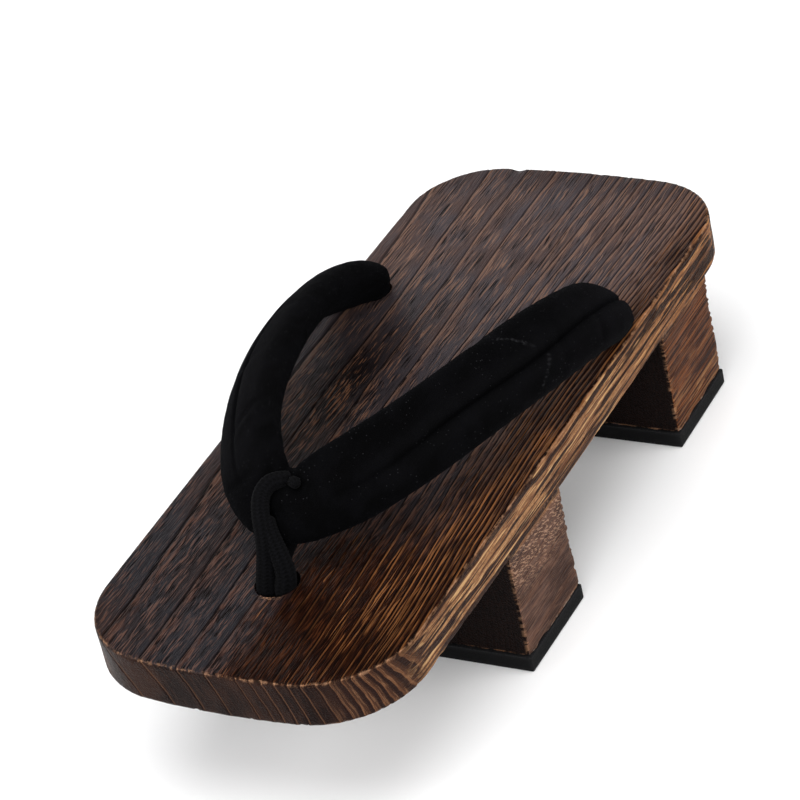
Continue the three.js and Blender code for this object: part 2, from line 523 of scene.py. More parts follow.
def ring_faces(rings: int, count: int) -> list[tuple[int, ...]]:
    """The faces of a closed tube through rings of points.

    Args:
        rings: how many rings there are.
        count: how many points each ring has.

    Returns:
        The faces.
    """
    faces: list[tuple[int, ...]] = []
    for start in range(0, (rings - 1) * count, count):
        for point in range(count):
            a, b = start + point, start + (point + 1) % count
            faces.append((a, b, b + count, a + count))
    faces.append(tuple(reversed(range(count))))
    faces.append(tuple(range((rings - 1) * count, rings * count)))
    return faces


def coordinates(piece: bpy.types.Object) -> np.ndarray:
    """The positions of a mesh's points, one row each."""
    flat = np.empty(len(piece.data.vertices) * 3)
    piece.data.vertices.foreach_get("co", flat)
    return flat.reshape(-1, 3)


def move_points(piece: bpy.types.Object, points: np.ndarray) -> None:
    """Moves a mesh's points to new positions."""
    piece.data.vertices.foreach_set("co", points.astype(np.float32).ravel())
    piece.data.update()


def point_normals(piece: bpy.types.Object) -> np.ndarray:
    """The normals at a mesh's points, one row each."""
    flat = np.empty(len(piece.data.vertices) * 3)
    piece.data.vertex_normals.foreach_get("vector", flat)
    return flat.reshape(-1, 3)


def store(piece: bpy.types.Object, name: str, values: np.ndarray) -> None:
    """Stores one number for each of a mesh's points, as an attribute."""
    attribute = piece.data.attributes.new(name, "FLOAT", "POINT")
    attribute.data.foreach_set("value", values.astype(np.float32))


def smooth_faces(piece: bpy.types.Object) -> None:
    """Shades a piece smoothly except over its sharp edges."""
    alone(piece)
    bpy.ops.object.shade_smooth_by_angle(angle=math.radians(SHARP_TURN))


def dress(piece: bpy.types.Object, material: bpy.types.Material) -> None:
    """Gives a piece its material, in its only material slot, and ties it to the body.

    Args:
        piece: the piece.
        material: its finish.
    """
    piece.data.materials.clear()
    piece.data.materials.append(material)
    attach(piece, BODY)


def catmull(points: Sequence[Vector], count: int) -> list[Vector]:
    """Points along a smooth curve through given points.

    Args:
        points: the given points.
        count: how many points are wanted.

    Returns:
        The points on the curve, evenly far apart.
    """
    ends = [points[0] * 2 - points[1], *points, points[-1] * 2 - points[-2]]
    fine: list[Vector] = []
    for before, start, end, after in zip(ends, ends[1:], ends[2:], ends[3:]):
        knots = [0.0]
        for a, b in ((before, start), (start, end), (end, after)):
            knots.append(knots[-1] + max((b - a).length, 1e-9) ** 0.5)
        t0, t1, t2, t3 = knots
        for part in range(SPAN_STEPS):
            t = t1 + (t2 - t1) * part / SPAN_STEPS
            a1 = before.lerp(start, (t - t0) / (t1 - t0))
            a2 = start.lerp(end, (t - t1) / (t2 - t1))
            a3 = end.lerp(after, (t - t2) / (t3 - t2))
            b1 = a1.lerp(a2, (t - t0) / (t2 - t0))
            b2 = a2.lerp(a3, (t - t1) / (t3 - t1))
            fine.append(b1.lerp(b2, (t - t1) / (t2 - t1)))
    fine.append(points[-1].copy())
    return along_line(fine, count)[0]


# ---------------------------------------------------------------------------------------------
# Finishes
# ---------------------------------------------------------------------------------------------


@dataclass(frozen=True)
class Rings:
    """The block's growth rings, in millimetres: the tree's heart and how the rings narrow."""

    heart_x: float = -64.4
    heart_z: float = 22.0
    widths: tuple[tuple[float, float], ...] = (
        (0.0, 0.0), (43.0, 4.0), (53.3, 5.0), (63.5, 6.0), (71.8, 7.0), (81.0, 8.0), (88.4, 10.0),
        (96.0, 12.0), (109.8, 16.0), (118.9, 21.0), (140.0, 34.0),
    )
    wander: float = 4.0
    ripple: float = 0.8
    lean: float = -0.045
    spread: float = 6.0

    def radius(self, graph: Graph, place: Socket) -> Socket:
        """How far a point lies from the heart of the tree, along the wandering grain.

        Args:
            graph: the tree that gets the nodes.
            place: the position, in millimetres.

        Returns:
            The distance, in millimetres.
        """
        x, y, z = graph.parts(place)
        toe_lean = graph.times(graph.step(y, -135.0, 10.0, 0.0, 145.0), self.lean)
        side = graph.math("DIVIDE", x, graph.plus(graph.math("ABSOLUTE", x), 14.0))
        heel_spread = graph.times(graph.step(y, 10.0, 135.0), side, self.spread)
        slow = graph.noise(place, (60.0, 150.0, 60.0), 1.0)
        quick = graph.noise(place, (9.0, 40.0, 9.0), 2.0)
        drift = graph.plus(
            graph.times(graph.minus(slow, 0.5), self.wander),
            graph.times(graph.minus(quick, 0.5), self.ripple * 2),
        )
        across = graph.minus(graph.minus(x, heel_spread), graph.plus(toe_lean, self.heart_x))
        flat = graph.joined(across, 0.0, graph.minus(z, self.heart_z))
        return graph.plus(graph.length(flat), drift)

    def count(self, graph: Graph, radius: Socket) -> Socket:
        """How many rings there are inside a radius, with the fraction of the last one."""
        return graph.curve(radius, self.widths)

    def width(self, graph: Graph, radius: Socket) -> Socket:
        """How wide the ring at a radius is, in millimetres."""
        wide = graph.step(radius, 78.0, 88.0, 9.5, 3.8)
        return graph.minus(wide, graph.step(radius, 104.0, 118.0, 0.0, 2.2))


@dataclass(frozen=True)
class Grain:
    """What the wood's pattern says at a point: its place, its ring, its fibres and its clouds."""

    place: Socket
    x: Socket
    y: Socket
    z: Socket
    fibres: Socket
    after: Socket
    thread: Socket
    hair: Socket
    line: Socket
    early: Socket
    flank: Socket
    calm: Socket
    shade: Socket
    ply: Socket
    strand: Socket
    light_hair: Socket
    dark_hair: Socket
    lines: Socket
    layer: Socket
    cloud: Socket
    patch: Socket

    def lenses(self, s: Surface) -> Socket:
        """Where the board is scorched in long lens-shaped streaks, more of them towards the heel.

        Args:
            s: the material.

        Returns:
            The streaks, as heights to cut a step from.
        """
        thin = s.noise(self.fibres, (1.7, 62.0, 1.35), 1.0, 0.5)
        bold = s.noise(self.fibres, (3.4, 74.0, 2.7), 1.0, 0.5)
        return s.plus(s.most(thin, s.plus(bold, 0.02)), s.step(self.y, -20.0, 80.0, -0.045, 0.012))


@dataclass(frozen=True)
class BurntWood:
    """Soft wood, scorched, brushed and oiled: charcoal on top, golden where the fire hardly reached."""

    rings: Rings = Rings()
    hole: Hole = FRONT_HOLE
    tooth_top: tuple[float, float] = (40.5, 42.8)
    saw_top: tuple[float, float] = (40.0, 42.0)
    rim: tuple[float, float] = (56.2, 57.0)
    # The charcoal of the top, with painted light: its grey base is a painted sheen, and it turns dark with
    # painted shade in front of the left arm.
    char_and_sheen: Colour = (0.0150, 0.0136, 0.0160)
    char_brown: Colour = (0.0165, 0.0105, 0.0100)
    char_and_heel_sheen: Colour = (0.0440, 0.0350, 0.0385)
    brown_and_heel_sheen: Colour = (0.0540, 0.0320, 0.0270)
    # The dark hairs' colour, and the painted shade in front of the left arm.
    soot_and_shade: Colour = (0.0026, 0.0014, 0.0013)
    rust: Colour = (0.0450, 0.0190, 0.0130)
    rust_heel: Colour = (0.1050, 0.0500, 0.0330)
    ember: Colour = (0.075, 0.040, 0.031)
    ember_heel: Colour = (0.140, 0.080, 0.057)
    # The light hairs' colour inside the painted shade in front of the left arm.
    ember_in_shade: Colour = (0.085, 0.036, 0.017)
    rubbed_dark: Colour = (0.020, 0.0085, 0.0060)
    rubbed_light: Colour = (0.070, 0.030, 0.018)
    # The warm wood of the top.
    brown: Colour = (0.0070, 0.0022, 0.0013)
    brown_hair: Colour = (0.0030, 0.0012, 0.0009)
    honey: Colour = (0.017, 0.0048, 0.0019)
    honey_hair: Colour = (0.040, 0.0122, 0.0042)
    gold: Colour = (0.215, 0.084, 0.027)
    seam: Colour = (0.0018, 0.0007, 0.0005)
    # The board's sides.
    tan: Colour = (0.125, 0.053, 0.024)
    amber: Colour = (0.120, 0.050, 0.022)
    straw: Colour = (0.285, 0.148, 0.066)
    straw_heel: Colour = (0.240, 0.104, 0.038)
    side_dark: Colour = (0.045, 0.016, 0.0075)
    side_light: Colour = (0.46, 0.28, 0.13)
    side_light_heel: Colour = (0.42, 0.21, 0.082)
    smoke: Colour = (0.0130, 0.0056, 0.0046)
    smoke_heel: Colour = (0.0100, 0.0034, 0.0017)
    heel_dark: Colour = (0.016, 0.0065, 0.0042)
    heel_light: Colour = (0.190, 0.095, 0.046)
    # The teeth.
    rear_dark: Colour = (0.040, 0.0120, 0.0048)
    rear_light: Colour = (0.145, 0.047, 0.015)
    rear_strand: Colour = (0.014, 0.0045, 0.0028)
    rear_bright: Colour = (0.22, 0.105, 0.045)
    front_dark: Colour = (0.038, 0.018, 0.013)
    front_light: Colour = (0.095, 0.049, 0.035)
    front_smoke: Colour = (0.0160, 0.0105, 0.0102)
    front_dark_hair: Colour = (0.0180, 0.0080, 0.0062)
    front_light_hair: Colour = (0.170, 0.096, 0.066)
    chatter: Colour = (0.330, 0.200, 0.130)
    glue: Colour = (0.260, 0.210, 0.170)
    # The teeth's end faces under the board: painted shade, far darker than the board's end grain.
    tooth_shade_dark: Colour = (0.0024, 0.0013, 0.0012)
    tooth_shade_light: Colour = (0.0070, 0.0031, 0.0023)
    # The ends and the toe's corner.
    end_dark: Colour = (0.0066, 0.0031, 0.0026)
    end_light: Colour = (0.0200, 0.0090, 0.0062)
    end_layer: Colour = (0.036, 0.017, 0.011)
    end_ring: Colour = (0.120, 0.056, 0.028)
    band_dark: Colour = (0.040, 0.0170, 0.0095)
    band_light: Colour = (0.110, 0.053, 0.027)
    band_shade: Colour = (0.0150, 0.0066, 0.0050)
    # Worn and broken places, and the painted highlight along the top's rim.
    worn_and_glint: Colour = (0.300, 0.160, 0.090)
    fresh: Colour = (0.62, 0.46, 0.30)

    def grain(self, s: Surface) -> Grain:
        """Reads the wood's pattern: rings, fibres that run along the board and weave a little, and clouds.

        Args:
            s: the material.

        Returns:
            The pattern.
        """
        place = s.place()
        x, y, z = s.parts(place)
        radius = self.rings.radius(s, place)
        share = s.math("FRACT", self.rings.count(s, radius))
        width = self.rings.width(s, radius)
        after = s.times(share, width)
        weave = s.minus(s.noise(place, (5.0, 13.0, 5.0), 1.0), 0.5)
        fibres = s.vector("ADD", place, s.joined(s.times(weave, 1.6), 0.0, s.times(weave, 0.8)))
        thread = s.noise(fibres, (0.46, 36.0, 0.46), 2.0, 0.6)
        short = s.noise(fibres, (0.47, 6.5, 0.47), 1.0, 0.5)
        long = s.noise(fibres, (0.43, 14.0, 0.43), 1.0, 0.5)
        towards_heel = s.step(s.plus(y, s.times(weave, 120.0)), -10.0, 45.0, 0.0, 0.85)
        hair = s.plus(short, s.times(s.minus(long, short), towards_heel))
        layers = s.joined(radius, s.times(y, 0.3), z)
        return Grain(
            place=place, x=x, y=y, z=z, fibres=fibres, after=after, thread=thread, hair=hair,
            line=s.fall(s.minus(width, after), 0.12, 0.60),
            early=s.times(s.step(after, 0.0, 0.15), s.fall(after, 0.35, 0.95)),
            flank=s.times(s.step(after, 0.0, 0.2), s.fall(after, 0.6, 3.2)),
            calm=s.step(share, 0.60, 0.85, 1.0, 0.35),
            shade=s.step(share, 0.36, 0.72),
            ply=s.noise(fibres, (0.9, 46.0, 0.75), 2.0, 0.6),
            strand=s.noise(fibres, (0.80, 40.0, 0.80), 1.0, 0.5),
            light_hair=s.step(hair, 0.56, 0.63),
            dark_hair=s.fall(hair, 0.37, 0.45),
            lines=s.step(thread, 0.44, 0.56),
            layer=s.noise(layers, (0.42, 9.0, 7.0), 2.0, 0.6),
            cloud=s.noise(place, (22.0, 48.0, 22.0), 3.0, 0.6),
            patch=s.noise(place, (7.0, 16.0, 7.0), 3.0, 0.65),
        )

    def warmth(self, s: Surface, grain: Grain) -> Socket:
        """How warm the top is: warmer towards one edge, at the toe on that side and along the heel's rim.

        Args:
            s: the material.
            grain: the wood's pattern.

        Returns:
            The share of warm wood, from 0 to 1.
        """
        x, y = grain.x, grain.y
        ragged = s.minus(grain.patch, 0.5)
        inward = s.minus(x, s.step(y, 0.0, 80.0, 0.0, 11.0))
        towards_edge = s.step(s.plus(inward, s.times(ragged, 20.0)), 27.0, 46.0)
        toe_side = s.step(s.plus(x, s.times(ragged, 26.0)), -4.0, 10.0)
        toe_end = s.fall(s.plus(y, s.times(ragged, 40.0)), -76.0, -44.0)
        warmth = s.most(s.times(towards_edge, 0.95), s.times(toe_side, toe_end))
        return s.most(warmth, s.times(s.step(y, 112.0, 134.0), 0.4))

    def charcoal(self, s: Surface, grain: Grain) -> Socket:
        """Charcoal with a painted blue-grey sheen and painted shade: rust-brown beside each ring line, under
        a crowd of fine light and dark hairs.

        Args:
            s: the material.
            grain: the wood's pattern.

        Returns:
            The colour.
        """
        x, y, patch = grain.x, grain.y, grain.patch
        # Painted sheen: the brown patches lighten towards the heel, like the grey base.
        patches = s.blend(s.step(y, -90.0, 60.0), self.char_brown, self.brown_and_heel_sheen)
        rust = s.blend(s.step(y, -90.0, 60.0), self.rust, self.rust_heel)
        ragged_rust = s.step(s.noise(grain.fibres, (1.7, 7.0, 1.7), 2.0, 0.6), 0.44, 0.56, 0.15, 0.85)
        beside_lines = s.times(grain.flank, s.step(y, -60.0, 50.0, 1.0, 0.45))
        crowd = s.step(s.plus(patch, s.times(beside_lines, 0.12)), 0.32, 0.48, 0.30, 0.95)
        busy = s.times(crowd, grain.calm)
        # Painted shade in front of the left arm, where the strap shades the top: near black there, with its
        # light hairs a deeper orange.
        across = s.plus(x, s.times(s.minus(patch, 0.5), 12.0))
        burnt = s.times(s.bump_at(across, -27.0, 25.0), s.bump_at(y, 2.0, 78.0))
        ember = s.blend(s.step(y, -80.0, 80.0), self.ember, self.ember_heel)
        corner = s.times(s.fall(x, -52.0, -28.0), s.fall(y, -124.0, -98.0))
        return s.over(
            # Painted sheen: the grey base over the dark charcoal, stronger towards the heel.
            s.blend(s.step(y, -110.0, 100.0), self.char_and_sheen, self.char_and_heel_sheen),
            (s.step(grain.cloud, 0.46, 0.62, 0.0, 0.7), patches),
            (s.times(beside_lines, ragged_rust), rust),
            (s.times(grain.early, s.step(y, -90.0, 20.0, 0.15, 0.75)), self.ember_heel),
            # Painted shade in front of the left arm.
            (s.times(burnt, 0.95), self.soot_and_shade),
            (s.times(grain.dark_hair, busy), self.soot_and_shade),
            (s.times(grain.light_hair, busy), s.blend(burnt, ember, self.ember_in_shade)),
            (s.times(corner, 0.75), s.blend(grain.light_hair, self.rubbed_dark, self.rubbed_light)),
        )

    def warm_wood(self, s: Surface, grain: Grain) -> Socket:
        """Red-brown wood with honey hairs, and gold along the ring lines, stronger towards the edge.

        Args:
            s: the material.
            grain: the wood's pattern.

        Returns:
            The colour.
        """
        x, patch = grain.x, grain.patch
        along = s.step(s.noise(grain.place, (4.0, 26.0, 4.0), 2.0), 0.38, 0.56, 0.25, 1.0)
        along = s.times(along, s.step(grain.y, -125.0, -70.0, 0.45, 1.0))
        thin = s.times(s.step(grain.after, 0.0, 0.1), s.fall(grain.after, 0.30, 0.62))
        bright = s.step(s.plus(grain.strand, s.step(x, 10.0, 52.0, -0.035, 0.075)), 0.66, 0.70)
        streak = s.times(s.step(grain.lenses(s), 0.49, 0.55), s.step(x, 36.0, 46.0))
        return s.over(
            s.blend(s.times(grain.lines, 0.6), self.brown, self.honey),
            (s.times(grain.light_hair, s.step(patch, 0.34, 0.55, 0.25, 0.9)), self.honey_hair),
            (s.times(grain.dark_hair, 0.9), self.brown_hair),
            (s.times(thin, along, s.step(x, 8.0, 48.0, 0.10, 0.95)), self.gold),
            (s.times(bright, s.step(patch, 0.34, 0.60, 0.15, 0.75)), self.gold),
            (s.times(streak, 0.45), self.brown),
        )

    def top(self, s: Surface, grain: Grain) -> Socket:
        """The colour of the board's top, by how far the fire reached over it."""
        colour = s.blend(self.warmth(s, grain), self.charcoal(s, grain), self.warm_wood(s, grain))
        return s.blend(s.times(grain.line, s.step(grain.y, 0.0, 90.0, 0.9, 0.65)), colour, self.seam)

    def board_side(self, s: Surface, grain: Grain, smoky: Socket, banded: Socket) -> Socket:
        """The colour of the board's sides: gold, with scorched streaks that leave the top edge bright.

        Args:
            s: the material.
            grain: the wood's pattern.
            smoky: where it is scorched.
            banded: the colour where the rings wrap round the toe's corner.

        Returns:
            The colour.
        """
        y = grain.y
        grit = s.noise(grain.place, (0.7, 1.3, 0.7), 1.0)
        straw = s.blend(s.step(y, 0.0, 90.0), self.straw, self.straw_heel)
        light = s.blend(s.step(y, 0.0, 90.0), self.side_light, self.side_light_heel)
        return s.over(
            s.blend(s.step(grain.ply, 0.40, 0.60), self.tan, straw),
            (s.step(grit, 0.50, 0.60, 0.0, 0.55), self.amber),
            (s.step(grain.strand, 0.36, 0.42, 0.8, 0.0), self.side_dark),
            (s.step(grain.strand, 0.60, 0.66, 0.0, 0.8), light),
            (
                s.times(smoky, s.step(grit, 0.40, 0.60, 1.0, 0.88)),
                s.blend(s.step(y, -20.0, 60.0), self.smoke, self.smoke_heel),
            ),
            (s.fall(y, -116.0, -98.0), banded),
            (
                s.step(y, 117.0, 128.0),
                s.blend(s.step(grain.layer, 0.46, 0.56), self.heel_dark, self.heel_light),
            ),
        )

    def rear_tooth(self, s: Surface, grain: Grain, smoky: Socket) -> Socket:
        """The colour of the rear tooth's sides: red-brown with lighter strands.

        Args:
            s: the material.
            grain: the wood's pattern.
            smoky: where the wood is scorched.

        Returns:
            The colour.
        """
        low = s.step(s.plus(grain.z, s.times(grain.patch, 16.0)), 20.0, 38.0, 0.85, 0.30)
        return s.over(
            s.blend(s.step(grain.ply, 0.40, 0.60), self.rear_dark, self.rear_light),
            (s.step(grain.strand, 0.46, 0.40, 0.0, 0.9), self.rear_strand),
            (s.times(s.step(grain.strand, 0.55, 0.61), low), s.blend(low, self.tan, self.rear_bright)),
            (s.times(smoky, 0.35), self.smoke),
        )

    def front_tooth(self, s: Surface, grain: Grain, smoky: Socket) -> Socket:
        """The colour of the front tooth's sides: grey-brown, with pale saw marks under the board.

        Args:
            s: the material.
            grain: the wood's pattern.
            smoky: where the wood is scorched.

        Returns:
            The colour.
        """
        slanted = s.vector("ADD", grain.place, s.joined(0.0, 0.0, s.times(grain.y, 0.45)))
        chatter = s.step(s.noise(slanted, (1.0, 1.9, 0.52), 1.0, 0.6), 0.53, 0.62)
        near_board = s.step(s.plus(grain.z, s.times(grain.patch, 12.0)), 28.0, 42.0)
        return s.over(
            s.blend(s.step(grain.patch, 0.38, 0.62), self.front_dark, self.front_light),
            (s.times(grain.lines, 0.25), self.amber),
            (s.times(smoky, 0.40), self.front_smoke),
            (s.times(grain.dark_hair, 0.40), self.front_dark_hair),
            (s.times(grain.light_hair, 0.30), self.front_light_hair),
            (s.times(chatter, near_board, 0.65), self.chatter),
        )

    def sides(self, s: Surface, grain: Grain, banded: Socket) -> Socket:
        """The colour of the board's and the teeth's sides, with a trace of glue above the pads.

        Args:
            s: the material.
            grain: the wood's pattern.
            banded: the colour where the rings wrap round the toe's corner.

        Returns:
            The colour.
        """
        y, z = grain.y, grain.z
        low_side = s.times(s.step(z, 46.0, 57.0, 0.035, -0.035), s.step(y, -10.0, 50.0, 1.0, -0.3))
        smoky = s.step(s.plus(grain.lenses(s), low_side), 0.51, 0.57)
        side = self.board_side(s, grain, smoky, banded)
        front, rear = self.front_tooth(s, grain, smoky), self.rear_tooth(s, grain, smoky)
        tooth = s.blend(s.step(y, 0.0, 1.0), front, rear)
        glued = s.times(s.fall(z, 5.7, 6.7), s.step(s.noise(grain.place, (1.0, 1.3, 1.0), 2.0), 0.50, 0.58))
        tooth = s.blend(s.times(glued, 0.7), tooth, self.glue)
        return s.blend(s.fall(z, *self.tooth_top), side, tooth)

    def ends(self, s: Surface, grain: Grain, banded: Socket) -> Socket:
        """The colour of the end grain: dark brown, with thin light ring lines.

        Args:
            s: the material.
            grain: the wood's pattern.
            banded: the colour where the rings wrap round the toe's corner.

        Returns:
            The colour.
        """
        ring_line = s.times(s.step(grain.after, 0.0, 0.08), s.fall(grain.after, 0.20, 0.50))
        return s.over(
            s.blend(s.step(grain.cloud, 0.35, 0.65), self.end_dark, self.end_light),
            (s.times(s.step(grain.layer, 0.50, 0.60), 0.35), self.end_layer),
            (s.times(ring_line, 0.50), self.end_ring),
            (s.step(grain.x, 34.0, 46.0), banded),
            # Painted shade on the teeth's end faces under the board.
            (s.fall(grain.z, *self.tooth_top), s.blend(grain.lines, self.tooth_shade_dark, self.tooth_shade_light)),
        )

    def bands(self, s: Surface, grain: Grain) -> Socket:
        """The colour of the rings where they wrap round the toe's corner.

        Args:
            s: the material.
            grain: the wood's pattern.

        Returns:
            The colour.
        """
        ring_edge = s.times(s.step(grain.after, 0.0, 0.08), s.fall(grain.after, 0.20, 0.45))
        return s.over(
            s.blend(s.step(grain.layer, 0.50, 0.60), self.band_dark, self.band_light),
            (grain.shade, self.band_shade),
            (s.times(ring_edge, 0.45), self.tan),
        )

    def wear(self, s: Surface, grain: Grain, colour: Socket, slope: Socket) -> Socket:
        """Bares the wood at ragged corners and in chips at rim and hole, and lays a thin light line along the
        top's rim that is wear and painted highlight.

        Args:
            s: the material.
            grain: the wood's pattern.
            colour: the colour so far.
            slope: how far the surface looks up.

        Returns:
            The colour.
        """
        place, x, y, z = grain.place, grain.x, grain.y, grain.z
        ragged = s.noise(place, (2.4, 2.4, 2.4), 4.0, 0.7)
        rubbed = s.times(s.attribute(EDGE), s.step(ragged, 0.50, 0.64))
        saw_marks = s.times(s.attribute(EDGE), s.step(s.noise(place, (9.0, 9.0, 0.9), 1.0), 0.52, 0.60))
        rubbed = s.most(rubbed, s.times(saw_marks, s.fall(z, *self.saw_top)))
        # The rim line: partly bared wood, partly a painted highlight where the rim's bevel catches the light.
        rim = s.times(s.step(z, *self.rim), s.bump_at(slope, 0.70, 0.22))
        hit = s.plus(s.step(ragged, 0.40, 0.62, 0.03, 0.26), s.times(grain.early, 0.55))
        notch = s.times(s.bump_at(x, -25.0, 3.4), s.step(y, 132.4, 133.6))
        chip = s.times(s.bump_at(s.plus(x, s.times(y, -0.12)), 59.4, 0.9), s.bump_at(y, -39.0, 3.0))
        hole_x, hole_y, radius = (measure / MM for measure in self.hole)
        away = s.vector("LENGTH", s.joined(s.minus(x, hole_x), s.minus(y, hole_y), 0.0), (0, 0, 0))
        lip = s.times(s.bump_at(away, radius + 0.6, 1.0), s.fall(y, hole_y - 5.6, hole_y - 4.6))
        broken = s.step(s.noise(place, (0.9, 0.6, 0.9), 2.0), 0.50, 0.56)
        return s.over(
            colour,
            (s.times(rubbed, 0.40), self.worn_and_glint),
            (s.times(rim, s.most(hit, s.times(notch, 0.8))), self.worn_and_glint),
            (s.times(chip, s.step(z, 56.3, 57.0)), self.fresh),
            (s.fall(away, radius + 0.05, radius + 0.3), self.end_dark),
            (s.times(lip, s.bump_at(x, 0.4, 3.6), broken, 0.9), self.worn_and_glint),
        )

    def material(self) -> bpy.types.Material:
        """Builds the finish.

        Returns:
            The material.
        """
        s = Surface("burnt_wood")
        grain = self.grain(s)
        normal_x, _, normal_z = s.parts(s.node("ShaderNodeNewGeometry").outputs["Normal"])
        banded = self.bands(s, grain)
        faces_side = s.step(s.math("ABSOLUTE", normal_x), 0.40, 0.85)
        colour = s.over(
            s.blend(faces_side, self.ends(s, grain, banded), self.sides(s, grain, banded)),
            (s.step(normal_z, 0.35, 0.75), self.top(s, grain)),
            (s.fall(normal_z, -0.8, -0.5), s.blend(grain.lines, self.brown, self.smoke)),
        )
        s.set("Base Color", self.wear(s, grain, colour, normal_z))
        s.set("Roughness", s.plus(s.step(grain.cloud, 0.35, 0.65, 0.30, 0.38), s.times(faces_side, 0.14)))
        s.fix("Specular IOR Level", 0.035)
        s.relief(s.minus(s.plus(grain.thread, s.times(grain.hair, 1.5)), s.times(grain.line, 1.2)), 0.00028)
        return s.material


@dataclass(frozen=True)
class Rubber:
    """Matt black rubber with a fine moulded grain and a little dust."""

    colour: Colour = (0.0026, 0.0026, 0.0029)
    dust: Colour = (0.030, 0.030, 0.032)

    def material(self) -> bpy.types.Material:
        """Builds the finish.

        Returns:
            The material.
        """
        s = Surface("tooth_rubber")
        place = s.place()
        grain = s.noise(place, (0.45, 0.45, 0.45), 3.0, 0.6)
        cloud = s.noise(place, (14.0, 14.0, 6.0), 3.0, 0.6)
        dusty = s.most(s.times(s.attribute(EDGE), 0.25), s.step(cloud, 0.5, 0.8, 0.0, 0.25))
        height = s.parts(place)[2]
        dusty = s.most(dusty, s.step(height, 4.7, 5.2, 0.0, 0.5))
        s.set("Base Color", s.blend(s.times(dusty, s.step(grain, 0.3, 0.7)), self.colour, self.dust))
        s.set("Roughness", s.step(grain, 0.2, 0.8, 0.62, 0.82))
        s.fix("Specular IOR Level", 0.08)
        s.relief(grain, 0.00012)
        return s.material


@dataclass(frozen=True)
class Velvet:
    """Near-black cotton velvet: a short pile with a faint sheen, brushed unevenly, with lint caught in it."""

    pile: Colour = (0.0008, 0.0008, 0.0009)
    brushed: Colour = (0.0014, 0.0014, 0.0017)
    # lip is a painted highlight on the ridges beside the seam, and crease a painted shade in the seam's fold.
    lip: Colour = (0.0028, 0.0028, 0.0033)
    crease: Colour = (0.0002, 0.0002, 0.0003)
    lint: Colour = (0.05, 0.05, 0.055)
    shine: Colour = (0.75, 0.8, 1.0)

    def material(self) -> bpy.types.Material:
        """Builds the finish.

        Returns:
            The material.
        """
        s = Surface("velvet")
        place = s.place()
        pile = s.noise(place, (0.35, 0.35, 0.35), 3.0, 0.7)
        brush = s.noise(place, (7.0, 12.0, 7.0), 3.0, 0.6)
        speck = s.fall(s.cells(place, (1.3, 1.3, 1.3)), 0.06, 0.15)
        rare = s.step(s.noise(place, (6.0, 6.0, 6.0), 2.0), 0.42, 0.58)
        broken = s.step(s.noise(place, (1.2, 1.2, 1.2), 2.0), 0.36, 0.54)
        colour = s.over(
            s.blend(s.step(brush, 0.38, 0.66), self.pile, self.brushed),
            (s.times(speck, rare, 0.45), self.lint),
            (s.times(s.attribute("dust"), broken, 0.24), self.lint),
            # Painted highlight on the seam's lips and painted shade in its fold.
            (s.times(s.attribute("lip"), 0.4), self.lip),
            (s.times(s.attribute("crease"), 0.9), self.crease),
        )
        s.set("Base Color", colour)
        s.fix("Roughness", 1.0)
        s.fix("Specular IOR Level", 0.02)
        s.fix("Sheen Weight", 0.005)
        s.fix("Sheen Roughness", 0.45)
        s.fix("Sheen Tint", (*self.shine, 1.0))
        s.relief(s.plus(s.times(pile, 0.6), s.times(brush, 0.4)), 0.00035)
        return s.material


@dataclass(frozen=True)
class TieCord:
    """Soft black knitted cord: rows of small stitches along each strand."""

    yarn: Colour = (0.0029, 0.0029, 0.0036)
    # gap is a painted shade in the recesses between the stitches.
    gap: Colour = (0.0006, 0.0006, 0.0007)

    def material(self) -> bpy.types.Material:
        """Builds the finish.

        Returns:
            The material.
        """
        s = Surface("tie_cord")
        place = s.place()
        fuzz = s.noise(place, (0.3, 0.3, 0.3), 3.0, 0.7)
        # Painted shade in the recesses between the stitches.
        colour = s.blend(s.attribute("gap"), self.yarn, self.gap)
        s.set("Base Color", s.tint(colour, s.step(fuzz, 0.3, 0.7, 0.7, 1.4)))
        s.fix("Roughness", 0.95)
        s.fix("Specular IOR Level", 0.04)
        s.fix("Sheen Weight", 0.007)
        s.fix("Sheen Roughness", 0.5)
        s.relief(fuzz, 0.0002)
        return s.material


@dataclass(frozen=True)
class PaleFloor:
    """A white matt studio floor that stays pale far beyond the lamps."""

    colour: Colour = (0.90, 0.90, 0.905)
    lamps_reach: tuple[float, float] = (900.0, 2400.0)
    glow: float = 0.85

    def material(self) -> bpy.types.Material:
        """Builds the finish.

        Returns:
            The material.
        """
        s = Surface("pale_floor")
        cloud = s.noise(s.place(), (180.0, 180.0, 180.0), 2.0)
        s.set("Base Color", s.tint(self.colour, s.step(cloud, 0.3, 0.7, 0.985, 1.0)))
        s.fix("Roughness", 0.55)
        s.fix("Specular IOR Level", 0.25)
        s.fix("Emission Color", (1.0, 1.0, 1.0, 1.0))
        s.set("Emission Strength", s.step(s.length(s.place()), *self.lamps_reach, 0.0, self.glow))
        return s.material


# ---------------------------------------------------------------------------------------------
# The block and its pads
# ---------------------------------------------------------------------------------------------


class End(Enum):
    """The two ends of the board, with the way each faces along y."""

    TOE = -1
    HEEL = 1


